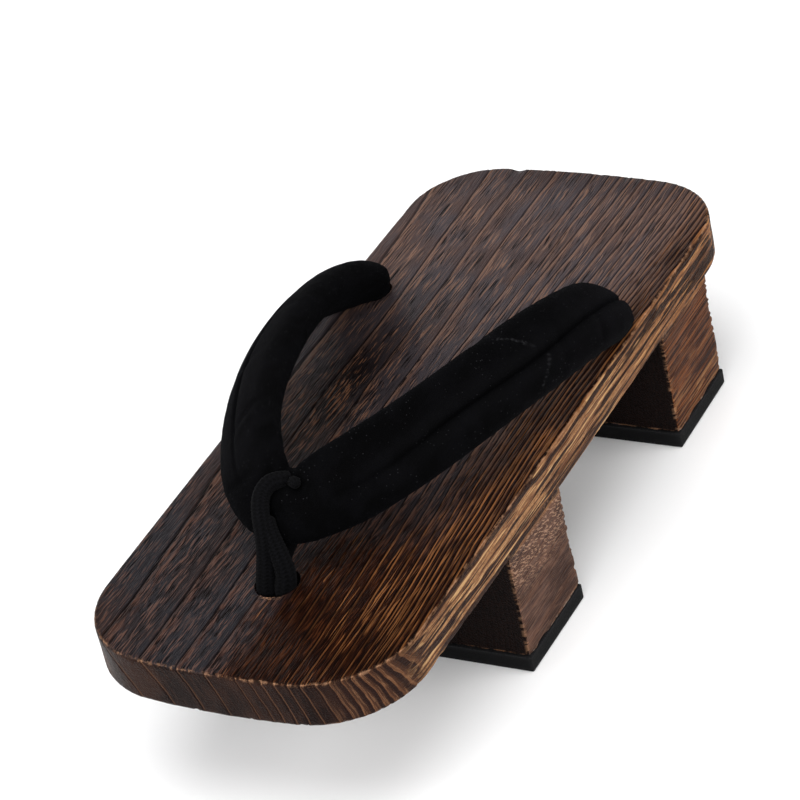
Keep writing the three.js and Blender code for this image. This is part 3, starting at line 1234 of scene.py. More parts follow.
@dataclass(frozen=True)
class Plan:
    """The board's plan: bowed sides and ends joined by round corners."""

    length: float = 0.270
    widest_half: float = 0.0542
    widest_y: float = 0.067
    side_radius: float = 8.7
    corner: dict[End, float] = field(default_factory=lambda: {End.TOE: 0.0305, End.HEEL: 0.028})
    bow: dict[End, float] = field(default_factory=lambda: {End.TOE: 0.282, End.HEEL: 0.385})
    bow_steps: int = 8
    side_steps: int = 14

    def bow_centre(self, end: End) -> Vector:
        """The centre of one end's bow."""
        return Vector((0.0, end.value * (self.length / 2 - self.bow[end])))

    def side_centre(self) -> Vector:
        """The centre of the +X side's bow."""
        return Vector((self.widest_half - self.side_radius, self.widest_y))

    def corner_centre(self, end: End) -> Vector:
        """The centre of the round corner on the +X side of one end.

        Args:
            end: the end of the board.

        Returns:
            The centre, touching the end's bow and the side's bow from inside.
        """
        bow_centre, side_centre = self.bow_centre(end), self.side_centre()
        reach_end = self.bow[end] - self.corner[end]
        reach_side = self.side_radius - self.corner[end]
        across = side_centre - bow_centre
        along = (across.length**2 + reach_end**2 - reach_side**2) / (2 * across.length)
        aside = math.sqrt(reach_end**2 - along**2)
        unit = across.normalized()
        square = Vector((-unit.y, unit.x))
        return bow_centre + unit * along + square * math.copysign(aside, square.y * end.value)

    def arcs(self) -> list[tuple[Vector, float, float, int]]:
        """The arcs of the +X half of the plan, from the toe's middle to the heel's middle.

        Returns:
            Each arc's centre, first angle, last angle and steps.
        """
        side_centre = self.side_centre()
        turns = {}
        for end in End:
            centre, bow_centre = self.corner_centre(end), self.bow_centre(end)
            to_corner, from_side = centre - bow_centre, centre - side_centre
            bow_angle = math.atan2(to_corner.y, to_corner.x)
            turns[end] = (bow_centre, centre, bow_angle, math.atan2(from_side.y, from_side.x))
        toe_bow, toe_corner, toe_end, toe_side = turns[End.TOE]
        heel_bow, heel_corner, heel_end, heel_side = turns[End.HEEL]
        return [
            (toe_bow, -math.pi / 2, toe_end, self.bow_steps),
            (toe_corner, toe_end, toe_side, self.side_steps),
            (side_centre, toe_side, heel_side, self.side_steps),
            (heel_corner, heel_side, heel_end, self.side_steps),
            (heel_bow, heel_end, math.pi / 2, self.bow_steps),
        ]

    def slab(self, name: str, bottom: float, top: float, margin: float = 0.0) -> bpy.types.Object:
        """The plan as a solid between two heights, its outline spun arc by arc from one point.

        Args:
            name: the object's name.
            bottom: its lowest height.
            top: its highest height.
            margin: how far the outline is grown outwards.

        Returns:
            The solid.
        """
        bpy.ops.object.select_all(action="DESELECT")
        bpy.ops.mesh.primitive_plane_add(size=MM, location=(0.0, 0.0, 0.0))
        piece = bpy.context.object
        piece.name = name
        with editing(piece):
            bpy.ops.mesh.select_mode(type="VERT")
            on_all(bpy.ops.mesh.merge, type="CENTER")
            bpy.ops.transform.translate(value=(0.0, -self.length / 2 - margin, bottom))
            for centre, start, finish, steps in self.arcs():
                middle = (centre.x, centre.y, bottom)
                bpy.ops.mesh.spin(steps=steps, angle=start - finish, center=middle, axis=UP)
            on_all(bpy.ops.mesh.symmetrize, direction="POSITIVE_X")
            on_all(bpy.ops.mesh.remove_doubles, threshold=MM * 0.02)
            on_all(bpy.ops.mesh.edge_face_add)
            bpy.ops.mesh.extrude_region_move(TRANSFORM_OT_translate={"value": (0.0, 0.0, top - bottom)})
            on_all(bpy.ops.mesh.normals_make_consistent, inside=False)
        return piece


def same(a: float, b: float) -> bool:
    """Whether two places are the same, within a hundredth of a millimetre."""
    return abs(a - b) < MM * 0.01


def bevel_edges(
    piece: bpy.types.Object, offset: float, segments: int, test: Callable[[bmesh.types.BMEdge], bool]
) -> None:
    """Rounds the edges that pass a test.

    Args:
        piece: the piece, in object mode.
        offset: how far the rounding reaches.
        segments: its number of faces.
        test: says whether an edge is wanted.
    """
    with editing(piece):
        pick_edges(piece, test)
        bpy.ops.mesh.bevel(offset=offset, segments=segments, affect="EDGES", clamp_overlap=True)


def cut_between(piece: bpy.types.Object, low: float, high: float) -> None:
    """Keeps only the part of a piece between two saw cuts across it.

    Args:
        piece: the piece.
        low: the y of the cut towards the toe.
        high: the y of the cut towards the heel.
    """
    with editing(piece):
        for y, facing in ((low, -1.0), (high, 1.0)):
            cut_plane((0.0, y, 0.0), (0.0, facing, 0.0), keep_inside=True)


def slice_up(piece: bpy.types.Object, axis: int, places: Iterable[float]) -> None:
    """Cuts a piece's faces along planes across one axis, so that its surface can carry relief.

    Args:
        piece: the piece.
        axis: 0, 1 or 2 for x, y or z.
        places: where the planes lie.
    """
    normal = tuple(float(axis == other) for other in range(3))
    with editing(piece):
        for place in places:
            cut_plane(tuple(place * part for part in normal), normal)


def mark_edges(piece: bpy.types.Object) -> None:
    """Stores 1 as the edge attribute where a surface turns sharply, and 0 elsewhere.

    Args:
        piece: the piece.
    """
    mesh = bmesh.new()
    mesh.from_mesh(piece.data)
    limit = math.radians(EDGE_TURN)
    sharp = np.zeros(len(mesh.verts))
    for edge in mesh.edges:
        if len(edge.link_faces) == 2 and edge.calc_face_angle(0.0) > limit:
            for vertex in edge.verts:
                sharp[vertex.index] = 1.0
    mesh.free()
    store(piece, EDGE, sharp)


@dataclass
class Block:
    """The board and its two teeth, sawn from one block and bored for the strap."""

    plan: Plan
    finish: BurntWood = BurntWood()
    board: tuple[float, float] = (0.0423, 0.0576)
    tooth_bottom: float = 0.0057
    tooth_root: float = 0.002
    rounding: float = 0.0011
    tooth_rounding: float = 0.0005
    bore_corners: int = 40
    bore_depth: float = 0.04
    across_step: float = 0.0008
    along_step: float = 0.003
    up_step: float = 0.0012
    tooth_step: float = 0.0009
    ridge: float = 0.00008
    wave: float = 0.00010
    nibble: float = 0.00055

    def body(self) -> bpy.types.Object:
        """The solid block, before its surface is cut fine.

        Returns:
            The block.
        """
        bottom, top = self.board
        block = self.plan.slab("block", bottom, top)
        bevel_edges(block, self.rounding, 3, lambda edge: same(*(v.co.z for v in edge.verts)))
        for name, (low, high) in TEETH.items():
            tooth = self.plan.slab(f"{name}_tooth", self.tooth_bottom, bottom + self.tooth_root)
            cut_between(tooth, low, high)

            def sawn(edge: bmesh.types.BMEdge) -> bool:
                """Whether an edge was left by a saw cut and stays outside the board."""
                on_cut = any(all(same(v.co.y, y) for v in edge.verts) for y in (low, high))
                return on_cut and edge.calc_length() > MM and not all(v.co.z > bottom for v in edge.verts)

            bevel_edges(tooth, self.tooth_rounding, 2, sawn)
            self.cut(block, tooth, "UNION")
        for hole in (FRONT_HOLE, REAR_HOLE, REAR_HOLE._replace(x=-REAR_HOLE.x)):
            bore = rod(self.bore_corners, hole.radius, self.bore_depth, (hole.x, hole.y, top))
            self.cut(block, bore, "DIFFERENCE")
        return block

    def cut(self, block: bpy.types.Object, tool: bpy.types.Object, operation: str) -> None:
        """Joins a tool's solid to the block or takes it away, and removes the tool."""
        apply(block, "BOOLEAN", operation=operation, object=tool, solver="EXACT")
        bpy.data.objects.remove(tool)

    def cut_fine(self, block: bpy.types.Object) -> None:
        """Cuts the surface into small faces, closer across the grain than along it.

        Args:
            block: the block.
        """
        half = self.plan.widest_half
        steps = int(half / self.across_step)
        slice_up(block, 0, [index * self.across_step for index in range(-steps, steps + 1)])
        steps = int(self.plan.length / 2 / self.along_step)
        slice_up(block, 1, [(index + 0.5) * self.along_step for index in range(-steps, steps)])
        bottom, top = self.board
        rows = int((top - bottom) / self.up_step)
        start = bottom + self.rounding
        slice_up(block, 2, [start + index * self.up_step for index in range(1, rows - 1)])
        rows = int((bottom - self.tooth_bottom) / self.tooth_step)
        slice_up(block, 2, [self.tooth_bottom + index * self.tooth_step for index in range(1, rows)])

    def wear(self, block: bpy.types.Object) -> None:
        """Raises the rings, dips the soft wood between them and nibbles the edges.

        Args:
            block: the block.
        """
        tree = bpy.data.node_groups.new("wood_relief", "GeometryNodeTree")
        tree.interface.new_socket("Geometry", in_out="INPUT", socket_type="NodeSocketGeometry")
        tree.interface.new_socket("Geometry", in_out="OUTPUT", socket_type="NodeSocketGeometry")
        g = Graph(tree)
        source, result = g.node("NodeGroupInput"), g.node("NodeGroupOutput")
        place = g.vector("DIVIDE", g.node("GeometryNodeInputPosition").outputs[0], (MM, MM, MM))
        normal = g.node("GeometryNodeInputNormal").outputs[0]
        x, y, z = g.parts(place)
        edge = g.node("GeometryNodeInputNamedAttribute", data_type="FLOAT")
        edge.inputs["Name"].default_value = EDGE
        rings = self.finish.rings
        share = g.math("FRACT", rings.count(g, rings.radius(g, place)))
        ridge = g.times(g.step(share, 0.25, 0.95), g.fall(share, 0.95, 1.0))
        wave = g.noise(place, (7.0, 26.0, 7.0), 2.0)
        nibble = g.step(g.noise(place, (2.2, 2.6, 2.2), 3.0, 0.7), 0.54, 0.7)
        height = g.plus(g.times(ridge, self.ridge), g.times(g.minus(wave, 0.6), self.wave))
        height = g.minus(height, g.times(g.times(edge.outputs["Attribute"], nibble), self.nibble))
        low = g.step(z, *self.finish.saw_top, 0.5, 0.0)
        saw_marks = g.times(g.step(g.noise(place, (9.0, 9.0, 0.9), 1.0), 0.46, 0.58), low)
        heel_rim = g.times(g.step(y, 124.0, 130.0), g.step(z, 55.0, 56.5, 0.0, 0.45))
        tick = g.times(g.bump_at(share, 0.97, 0.06), heel_rim)
        cut = g.times(g.most(saw_marks, tick), edge.outputs["Attribute"])
        notch = g.times(g.bump_at(x, -25.0, 3.2), g.step(y, 132.0, 134.0), g.step(z, 53.5, 57.0, 0.0, 1.1))
        height = g.minus(height, g.times(g.most(cut, notch), MM))
        move = g.node("GeometryNodeSetPosition")
        g.feed(move.inputs["Geometry"], source.outputs[0])
        g.feed(move.inputs["Offset"], g.vector("MULTIPLY", normal, g.joined(height, height, height)))
        tree.links.new(move.outputs[0], result.inputs[0])
        apply(block, "NODES", node_group=tree)

    def build(self) -> bpy.types.Object:
        """Builds and dresses the block.

        Returns:
            The block.
        """
        block = self.body()
        self.cut_fine(block)
        mark_edges(block)
        self.wear(block)
        smooth_faces(block)
        dress(block, self.finish.material())
        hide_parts("dai")
        return block


@dataclass
class ToothPads:
    """The rubber pads glued under the teeth."""

    plan: Plan
    finish: Rubber = Rubber()
    thickness: float = 0.0054
    overhang: float = 0.0004
    rounding: float = 0.0004
    corner: float = 50.0
    cell: float = 0.002
    cuts: tuple[int, int] = (26, 17)
    levels: tuple[float, ...] = (0.0015, 0.0027, 0.0040)

    def build(self) -> list[bpy.types.Object]:
        """Builds and dresses both pads.

        Returns:
            The pads.
        """
        material = self.finish.material()
        pads = []
        for name, (low, high) in TEETH.items():
            pad = self.plan.slab(f"{name}_rubber", 0.0, self.thickness, self.overhang)
            cut_between(pad, low - self.overhang, high + self.overhang)
            limit = math.radians(self.corner)
            bevel_edges(pad, self.rounding, 2, lambda edge: edge.calc_face_angle(0.0) > limit)
            across, along = self.cuts
            slice_up(pad, 0, [index * self.cell for index in range(-across, across + 1)])
            slice_up(pad, 1, [low + index * self.cell for index in range(1, along + 1)])
            slice_up(pad, 2, self.levels)
            mark_edges(pad)
            smooth_faces(pad)
            dress(pad, material)
            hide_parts(f"{name}_pad")
            pads.append(pad)
        return pads


# ---------------------------------------------------------------------------------------------
# The strap
# ---------------------------------------------------------------------------------------------


@dataclass(frozen=True)
class Section:
    """A section of the strap: its place along the arm, its sizes in millimetres and its turn in degrees."""

    along: float
    outer: float
    inner: float
    thick: float
    drop: float


@dataclass(frozen=True)
class Crease:
    """A soft fold across the strap's face."""

    side: int
    along: float
    across: float
    reach: float
    width: float
    depth: float
    slant: float = 0.0


@dataclass
class Arm:
    """The centre line and sections of one arm of the strap, on the +X side."""

    board_top: float
    route: tuple[Place, ...] = (
        (41.9, 56.8, -1.0), (54.2, 29.5, 30.2), (30.6, -75.5, 23.7), (0.0, -78.6, 18.1),
    )
    sections: tuple[Section, ...] = (
        Section(0.0, 9.6, 10.4, 12.8, 37.0),
        Section(0.15, 11.8, 12.2, 12.9, 37.0),
        Section(0.4, 13.0, 13.2, 11.6, 38.0),
        Section(0.78, 13.2, 13.2, 10.4, 43.0),
        Section(0.9, 12.8, 11.8, 9.8, 46.5),
        Section(1.0, 12.2, 6.2, 9.0, 50.0),
    )
    power: float = 0.8
    blunt_end: float = 9.0
    blunt_start: float = 0.06

    def points(self) -> list[Vector]:
        """The control points of the centre line, in metres."""
        return [Vector((x, y, z)) * MM + UP * self.board_top for x, y, z in self.route]

    def centre(self, along: float) -> Vector:
        """A point of the centre line."""
        a, b, c, d = self.points()
        back = 1.0 - along
        return a * back**3 + b * 3 * back**2 * along + c * 3 * back * along**2 + d * along**3

    def tangent(self, along: float) -> Vector:
        """The direction of the centre line at a point."""
        if along >= 1.0:
            return Vector((-1.0, 0.0, 0.0))
        a, b, c, d = self.points()
        back = 1.0 - along
        return ((b - a) * back**2 + (c - b) * 2 * back * along + (d - c) * along**2).normalized()

    def length(self) -> float:
        """The length of the centre line."""
        stations = [self.centre(step / 100) for step in range(101)]
        return sum((b - a).length for a, b in zip(stations, stations[1:]))

    def size(self, name: str, along: float) -> float:
        """One of the sections' sizes, eased between the rows.

        Args:
            name: the size's name.
            along: the place along the arm, from 0 at the rear to 1 at the front.

        Returns:
            The size, in millimetres or degrees.
        """
        for before, after in zip(self.sections, self.sections[1:]):
            if along <= after.along:
                share = (along - before.along) / (after.along - before.along)
                eased = share * share * (3 - 2 * share)
                return getattr(before, name) + (getattr(after, name) - getattr(before, name)) * eased
        return getattr(self.sections[-1], name)

    def frame(self, along: float) -> tuple[Vector, Vector, Vector]:
        """The centre of a section, the direction across its face and the direction that its face looks.

        Args:
            along: the place along the arm.

        Returns:
            The centre, the direction towards the outer edge and the face's direction.
        """
        tangent = self.tangent(along)
        outward = Vector((-tangent.y, tangent.x, 0.0)).normalized()
        up = outward.cross(tangent).normalized()
        if up.z < 0:
            up.negate()
        drop = math.radians(self.size("drop", along))
        across = outward * math.cos(drop) - up * math.sin(drop)
        facing = outward * math.sin(drop) + up * math.cos(drop)
        return self.centre(along), across, facing

    def ring(self, along: float, count: int, shrink: float) -> list[Vector]:
        """A section as a ring of points.

        Args:
            along: the place along the arm.
            count: how many points the ring has.
            shrink: how far inside the full size it lies.

        Returns:
            The points.
        """
        centre, across, facing = self.frame(along)
        from_end = min(1.0, along * self.length() / MM / self.blunt_end)
        blunt = math.sqrt(1 - (1 - max(from_end, self.blunt_start)) ** 2)
        ring = []
        for index in range(count):
            turn = index / count * TURN
            side = math.copysign(abs(math.cos(turn)) ** self.power, math.cos(turn))
            face = math.copysign(abs(math.sin(turn)) ** self.power, math.sin(turn))
            half_width = self.size("outer" if side > 0 else "inner", along) * MM * blunt - shrink
            half_thick = self.size("thick", along) / 2 * MM * blunt - shrink
            aside = across * side * max(half_width, MM)
            ring.append(centre + aside + facing * face * max(half_thick, MM * 0.5))
        return ring


def peak(away: np.ndarray, width: float) -> np.ndarray:
    """A bell-shaped peak of height 1 over distances from its middle."""
    return np.exp(-((away / width) ** 2))


@dataclass
class Hanao:
    """The padded velvet strap: two arms that meet at the front, pressed on the board at the rear."""

    arm: Arm
    tie_line: list[Vector]
    finish: Velvet = Velvet()
    stations: int = 60
    around: int = 32
    gap: float = 0.0003
    start_inside: float = -0.0001
    voxel: float = 0.00223
    cloth: dict[str, object] = field(default_factory=lambda: {
        "use_pressure": True, "uniform_pressure_force": 4.0, "vertex_group_mass": "held", "quality": 5,
        "mass": 0.3, "tension_stiffness": 25.0, "compression_stiffness": 25.0, "bending_stiffness": 2.0,
    })
    frames: int = 16
    swell: float = 0.0014
    crowding: float = 1.35
    held: float = 0.0015
    tail_corners: int = 24
    tail_radius: float = 0.0048
    tail_length: float = 0.019
    tail_drop: float = 0.0065
    batch: int = 4000
    seam_depth: float = 0.0009
    seam_width: float = 0.0008
    seam_sway: float = 0.0006
    seam_aside: tuple[float, float] = (0.0024, 0.0018)
    lip_aside: float = 0.0032
    lip_width: float = 0.0024
    lip_height: float = 0.00018
    tie_radius: float = 0.0030
    tie_room: float = 0.0002
    tie_dent: tuple[float, float] = (0.0005, 0.0022)
    tie_reach: tuple[float, float] = (0.016, -0.060)
    dust_arcs: tuple[tuple[float, float, float, float, float], ...] = (
        (0.0, 60.0, 12.0, -0.80, 0.12), (0.1, 57.0, 15.0, 0.26, 0.92),
    )
    dust_width: float = 0.00035
    creases: tuple[Crease, ...] = (
        Crease(1, 0.33, 0.30, 0.9, 1.5, 0.55, 0.5),
        Crease(1, 0.40, -0.45, 0.7, 1.6, 0.45, -0.3),
        Crease(1, 0.22, 0.55, 0.6, 1.4, 0.35, 0.4),
        Crease(1, 0.55, 0.55, 0.6, 2.0, 0.35, 0.5),
        Crease(1, 0.68, -0.35, 0.7, 2.2, 0.40, -0.5),
        Crease(1, 0.82, 0.35, 0.8, 2.2, 0.55, 0.7),
        Crease(1, 0.90, -0.40, 0.6, 1.8, 0.45, -0.6),
        Crease(-1, 0.18, 0.10, 0.9, 1.6, 0.40, 0.4),
        Crease(-1, 0.36, -0.35, 0.7, 1.8, 0.40, -0.4),
        Crease(-1, 0.52, 0.20, 0.8, 2.0, 0.35, 0.3),
        Crease(-1, 0.70, -0.30, 0.8, 2.0, 0.45, 0.5),
        Crease(-1, 0.86, 0.25, 0.8, 2.2, 0.50, -0.5),
        Crease(-1, 0.93, -0.45, 0.5, 1.6, 0.40, 0.4),
    )

    def shell(self) -> bpy.types.Object:
        """Both arms as one closed skin, cut flat where it lies on the board, with its tails.

        Returns:
            The skin.
        """
        places = [(step / self.stations) ** self.crowding for step in range(self.stations + 1)]
        left = [self.arm.ring(place, self.around, self.start_inside) for place in places]
        right = [[Vector((-p.x, p.y, p.z)) for p in ring] for ring in left[:-1]]
        rings = [*left, *reversed(right)]
        points = rows_of(p for ring in rings for p in ring)
        strap = skin("hanao_strap", points, ring_faces(len(rings), self.around))
        with editing(strap):
            on_all(bpy.ops.mesh.normals_make_consistent, inside=False)
            cut_plane((0.0, 0.0, self.arm.board_top + self.gap), (0.0, 0.0, -1.0), keep_inside=True)
        tails = []
        for side in (1, -1):
            middle = (side * REAR_HOLE.x, REAR_HOLE.y, self.arm.board_top - self.tail_drop)
            tails.append(rod(self.tail_corners, self.tail_radius, self.tail_length, middle))
            settle(tails[-1])
        return joined([strap, *tails], "hanao_strap")

    def inflate(self, strap: bpy.types.Object) -> None:
        """Remeshes the skin evenly and lets air pressure swell it like a stuffed tube.

        Args:
            strap: the skin.
        """
        apply(strap, "REMESH", mode="VOXEL", voxel_size=self.voxel, adaptivity=0.0)
        start = coordinates(strap)
        held = [i for i, p in enumerate(start) if p[2] < self.arm.board_top + self.held]
        strap.vertex_groups.new(name="held").add(held, 1.0, "REPLACE")
        cloth = strap.modifiers.new("cloth", "CLOTH")
        for name, value in self.cloth.items():
            setattr(cloth.settings, name, value)
        cloth.settings.effector_weights.gravity = 0.0
        cloth.point_cache.frame_start = 1
        cloth.point_cache.frame_end = self.frames
        scene = bpy.context.scene
        for number in range(1, self.frames + 1):
            scene.frame_set(number)
        alone(strap)
        bpy.ops.object.modifier_apply(modifier=cloth.name)
        scene.frame_set(1)
        moved = coordinates(strap) - start
        far = np.linalg.norm(moved, axis=1, keepdims=True)
        LOG.info("strap swells by up to %.2f mm", far.max() / MM)
        capped = moved * np.minimum(1.0, self.swell / np.maximum(far, 1e-9))
        move_points(strap, start + capped)
        strap.vertex_groups.clear()

    def local(self, points: np.ndarray) -> tuple[np.ndarray, np.ndarray, np.ndarray, np.ndarray]:
        """Where points lie on the arms.

        Args:
            points: the points.

        Returns:
            For each point its place along the arm, its distance across the face and above the centre line in
            metres, and the face's direction.
        """
        places = np.linspace(0.0, 1.0, STATIONS)
        frames = [self.arm.frame(float(place)) for place in places]
        centres, acrosses, facings = (rows_of(f[i] for f in frames) for i in range(3))
        folded = points.copy()
        folded[:, 0] = np.abs(folded[:, 0])
        nearest = np.empty(len(points), int)
        for first in range(0, len(points), self.batch):
            part = folded[first : first + self.batch]
            gaps = np.linalg.norm(part[:, None, :] - centres[None, :, :], axis=2)
            nearest[first : first + self.batch] = gaps.argmin(axis=1)
        away = folded - centres[nearest]
        across = (away * acrosses[nearest]).sum(axis=1)
        above = (away * facings[nearest]).sum(axis=1)
        facing = facings[nearest].copy()
        facing[:, 0] *= np.where(points[:, 0] < 0, -1.0, 1.0)
        return places[nearest], across, above, facing

    def shape(self, strap: bpy.types.Object) -> None:
        """Presses the long fold, the listed creases and the tie's dent into the strap.

        Args:
            strap: the swollen strap, already subdivided.
        """
        points = coordinates(strap)
        along, across, above, facing = self.local(points)
        side = np.where(points[:, 0] < 0, -1, 1)
        places = np.linspace(0.0, 1.0, STATIONS)
        half = np.array([self.arm.size("outer", place) for place in places])
        half_width = np.interp(along, places, half) * MM
        on_face = np.clip(above / (2.5 * MM), 0.0, 1.0)
        left, right = self.seam_aside
        sway = self.seam_sway * np.sin(along * 17.0 + side)
        sway = sway + np.where(side < 0, right, left * np.clip(along / 0.2, 0.4, 1.0))
        fade = np.clip((along + 0.02) / 0.06, 0, 1) * np.clip((0.90 - along) / 0.30, 0, 1)
        # The seam's fold and the ridges beside it; besides their shape, they carry a painted shade and a
        # painted highlight into the velvet's colour.
        fold = peak(across - sway, self.seam_width) * fade * on_face
        lip = peak(across - sway - self.lip_aside, self.lip_width) * fade * on_face
        lip += peak(across - sway + self.lip_aside, self.lip_width) * fade * on_face
        depth = -fold * self.seam_depth + lip * self.lip_height
        length = self.arm.length()
        for crease in self.creases:
            here = along * length - crease.along * length
            aside = across / half_width - crease.across
            reach = peak(aside, crease.reach * 0.6)
            line = here - crease.slant * aside * half_width
            bent = line - 2.0 * MM * aside**2
            trough = peak(bent, crease.width * MM)
            ridge = peak(bent - 2.2 * crease.width * MM, 1.4 * crease.width * MM)
            mine = side == crease.side
            depth += mine * reach * on_face * crease.depth * MM * (0.45 * ridge - trough)
        points += facing * depth[:, None]

        # The tie presses its own channel.
        line = rows_of(self.tie_line)
        aside, front = self.tie_reach
        near = np.flatnonzero((np.abs(points[:, 0]) < aside) & (points[:, 1] < front))
        normals = point_normals(strap)
        gaps = np.linalg.norm(points[near, None, :] - line[None, :, :], axis=2).min(axis=1)
        push = np.clip(self.tie_radius + self.tie_room - gaps, 0.0, None)
        dent, width = self.tie_dent
        soft = dent * peak(gaps - self.tie_radius, width)
        points[near] -= normals[near] * (push + soft)[:, None]
        move_points(strap, points)
        # The stored crease is painted shade for the seam's fold, and the stored lip a painted highlight for
        # its ridges.
        store(strap, "crease", np.clip(fold, 0, 1))
        store(strap, "lip", np.clip(lip, 0, 1))
        store(strap, "dust", self.dust(along * length, across / half_width, side) * on_face)

    def dust(self, along: np.ndarray, across: np.ndarray, side: np.ndarray) -> np.ndarray:
        """How dusty the strap is: two thin arcs across one arm, where a hand has bent it.

        Args:
            along: each point's distance from the rear, in metres.
            across: its place across the face, from -1 to 1.
            side: which arm it is on.

        Returns:
            The dust, from 0 to 1.
        """
        total = np.zeros(len(along))
        for middle, start, bow, low, high in self.dust_arcs:
            line = along - start * MM - bow * MM * (across - middle) ** 2
            reach = np.clip((across - low) / 0.12, 0, 1) * np.clip((high - across) / 0.12, 0, 1)
            total += (side > 0) * reach * peak(line, self.dust_width)
        return np.clip(total, 0.0, 1.0)

    def build(self) -> bpy.types.Object:
        """Builds and dresses the strap.

        Returns:
            The strap.
        """
        strap = self.shell()
        self.inflate(strap)
        apply(strap, "SUBSURF", levels=2, render_levels=2)
        self.shape(strap)
        smooth(strap)
        dress(strap, self.finish.material())
        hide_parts("hanao")
        return strap


# ---------------------------------------------------------------------------------------------
# Cords: the front tie and the knots under the board
# ---------------------------------------------------------------------------------------------


@dataclass(frozen=True)
class KnitTube:
    """A soft cord with rows of stitches round it."""

    radius: float
    row: float = 0.0011
    ribs: int = 9
    depth: float = 0.00030
    sides: int = 36
    base: float = 1.0
    base_reach: float = 0.01

    def along(self, name: str, line: Sequence[Vector], taper: float = 0.0) -> bpy.types.Object:
        """The cord along a line.

        Args:
            name: the object's name.
            line: the points of its centre line.
            taper: how far before each end it narrows to a rounded tip, in metres.

        Returns:
            The cord.
        """
        total = float(np.cumsum([(b - a).length for a, b in zip(line, line[1:])])[-1])
        count = max(8, int(total / (self.row / 5)))
        path, wanted = along_line(line, count)
        side = (path[1] - path[0]).orthogonal().normalized()
        points, recess_shade = [], []
        for index, (centre, where) in enumerate(zip(path, wanted)):
            ahead, behind = path[min(index + 1, count - 1)], path[max(index - 1, 0)]
            tangent = (ahead - behind).normalized()
            side = (side - tangent * side.dot(tangent)).normalized()
            other = tangent.cross(side)
            from_end = min(where, total - where)
            tip = 1.0
            if taper > 0.0 and from_end < taper:
                tip = math.sqrt(max(0.02, 1 - (1 - from_end / taper) ** 2))
            thick = 1.0 + (self.base - 1.0) * math.exp(-((where / self.base_reach) ** 2))
            for step in range(self.sides):
                turn = step / self.sides * TURN
                rib = 0.5 + 0.5 * math.cos(self.ribs * turn)
                lean = 0.5 * rib
                stitch = 0.5 + 0.5 * math.cos(TURN * (where / self.row + lean))
                rise = (0.55 * stitch + 0.45 * rib) * self.depth
                radius = (self.radius * thick - self.depth + rise) * tip
                offset = side * math.cos(turn) + other * math.sin(turn)
                points.append(tuple(centre + offset * radius))
                # Painted shade: the lower the surface sits between the stitches, the darker its colour.
                recess_shade.append(1.0 - rise / self.depth)
        tube = skin(name, np.array(points), ring_faces(count, self.sides))
        store(tube, "gap", np.array(recess_shade))
        return tube


@dataclass(frozen=True)
class Knot:
    """A plain overhand knot under the board, pulled tight and flat, with its cord coming from above."""

    radius: float
    ribs: int
    drop: float
    reach: float
    height: float
    tail: float
    turn: float
    taper: float = 0.0016
    steps: int = 18

    def line(self, centre: Vector) -> list[Vector]:
        """The knot's centre line.

        Args:
            centre: the knot's middle.

        Returns:
            The points.
        """
        line = [centre + UP * (self.height * 2.0), centre + UP * self.height]
        for step in range(self.steps + 1):
            t = 0.3 + step / self.steps * 2 * math.pi * 0.94
            out = self.reach * (math.sin(t) + 2 * math.sin(2 * t)) / 3
            aside = self.reach * (math.cos(t) - 2 * math.cos(2 * t)) / 3
            level = -math.sin(3 * t) * self.height * 0.35
            x = out * math.cos(self.turn) - aside * math.sin(self.turn)
            y = out * math.sin(self.turn) + aside * math.cos(self.turn)
            line.append(centre + Vector((x, y, level)))
        last = line[-1] - centre
        line.append(centre + Vector((last.x * 1.2, last.y * 1.2, last.z - self.tail)))
        return line

    def tied(self, name: str, x: float, y: float, board_bottom: float) -> bpy.types.Object:
        """The knot, tied under a hole at x and y."""
        line = self.line(Vector((x, y, board_bottom - self.drop)))
        return KnitTube(self.radius, ribs=self.ribs).along(name, catmull(line, STATIONS), self.taper)


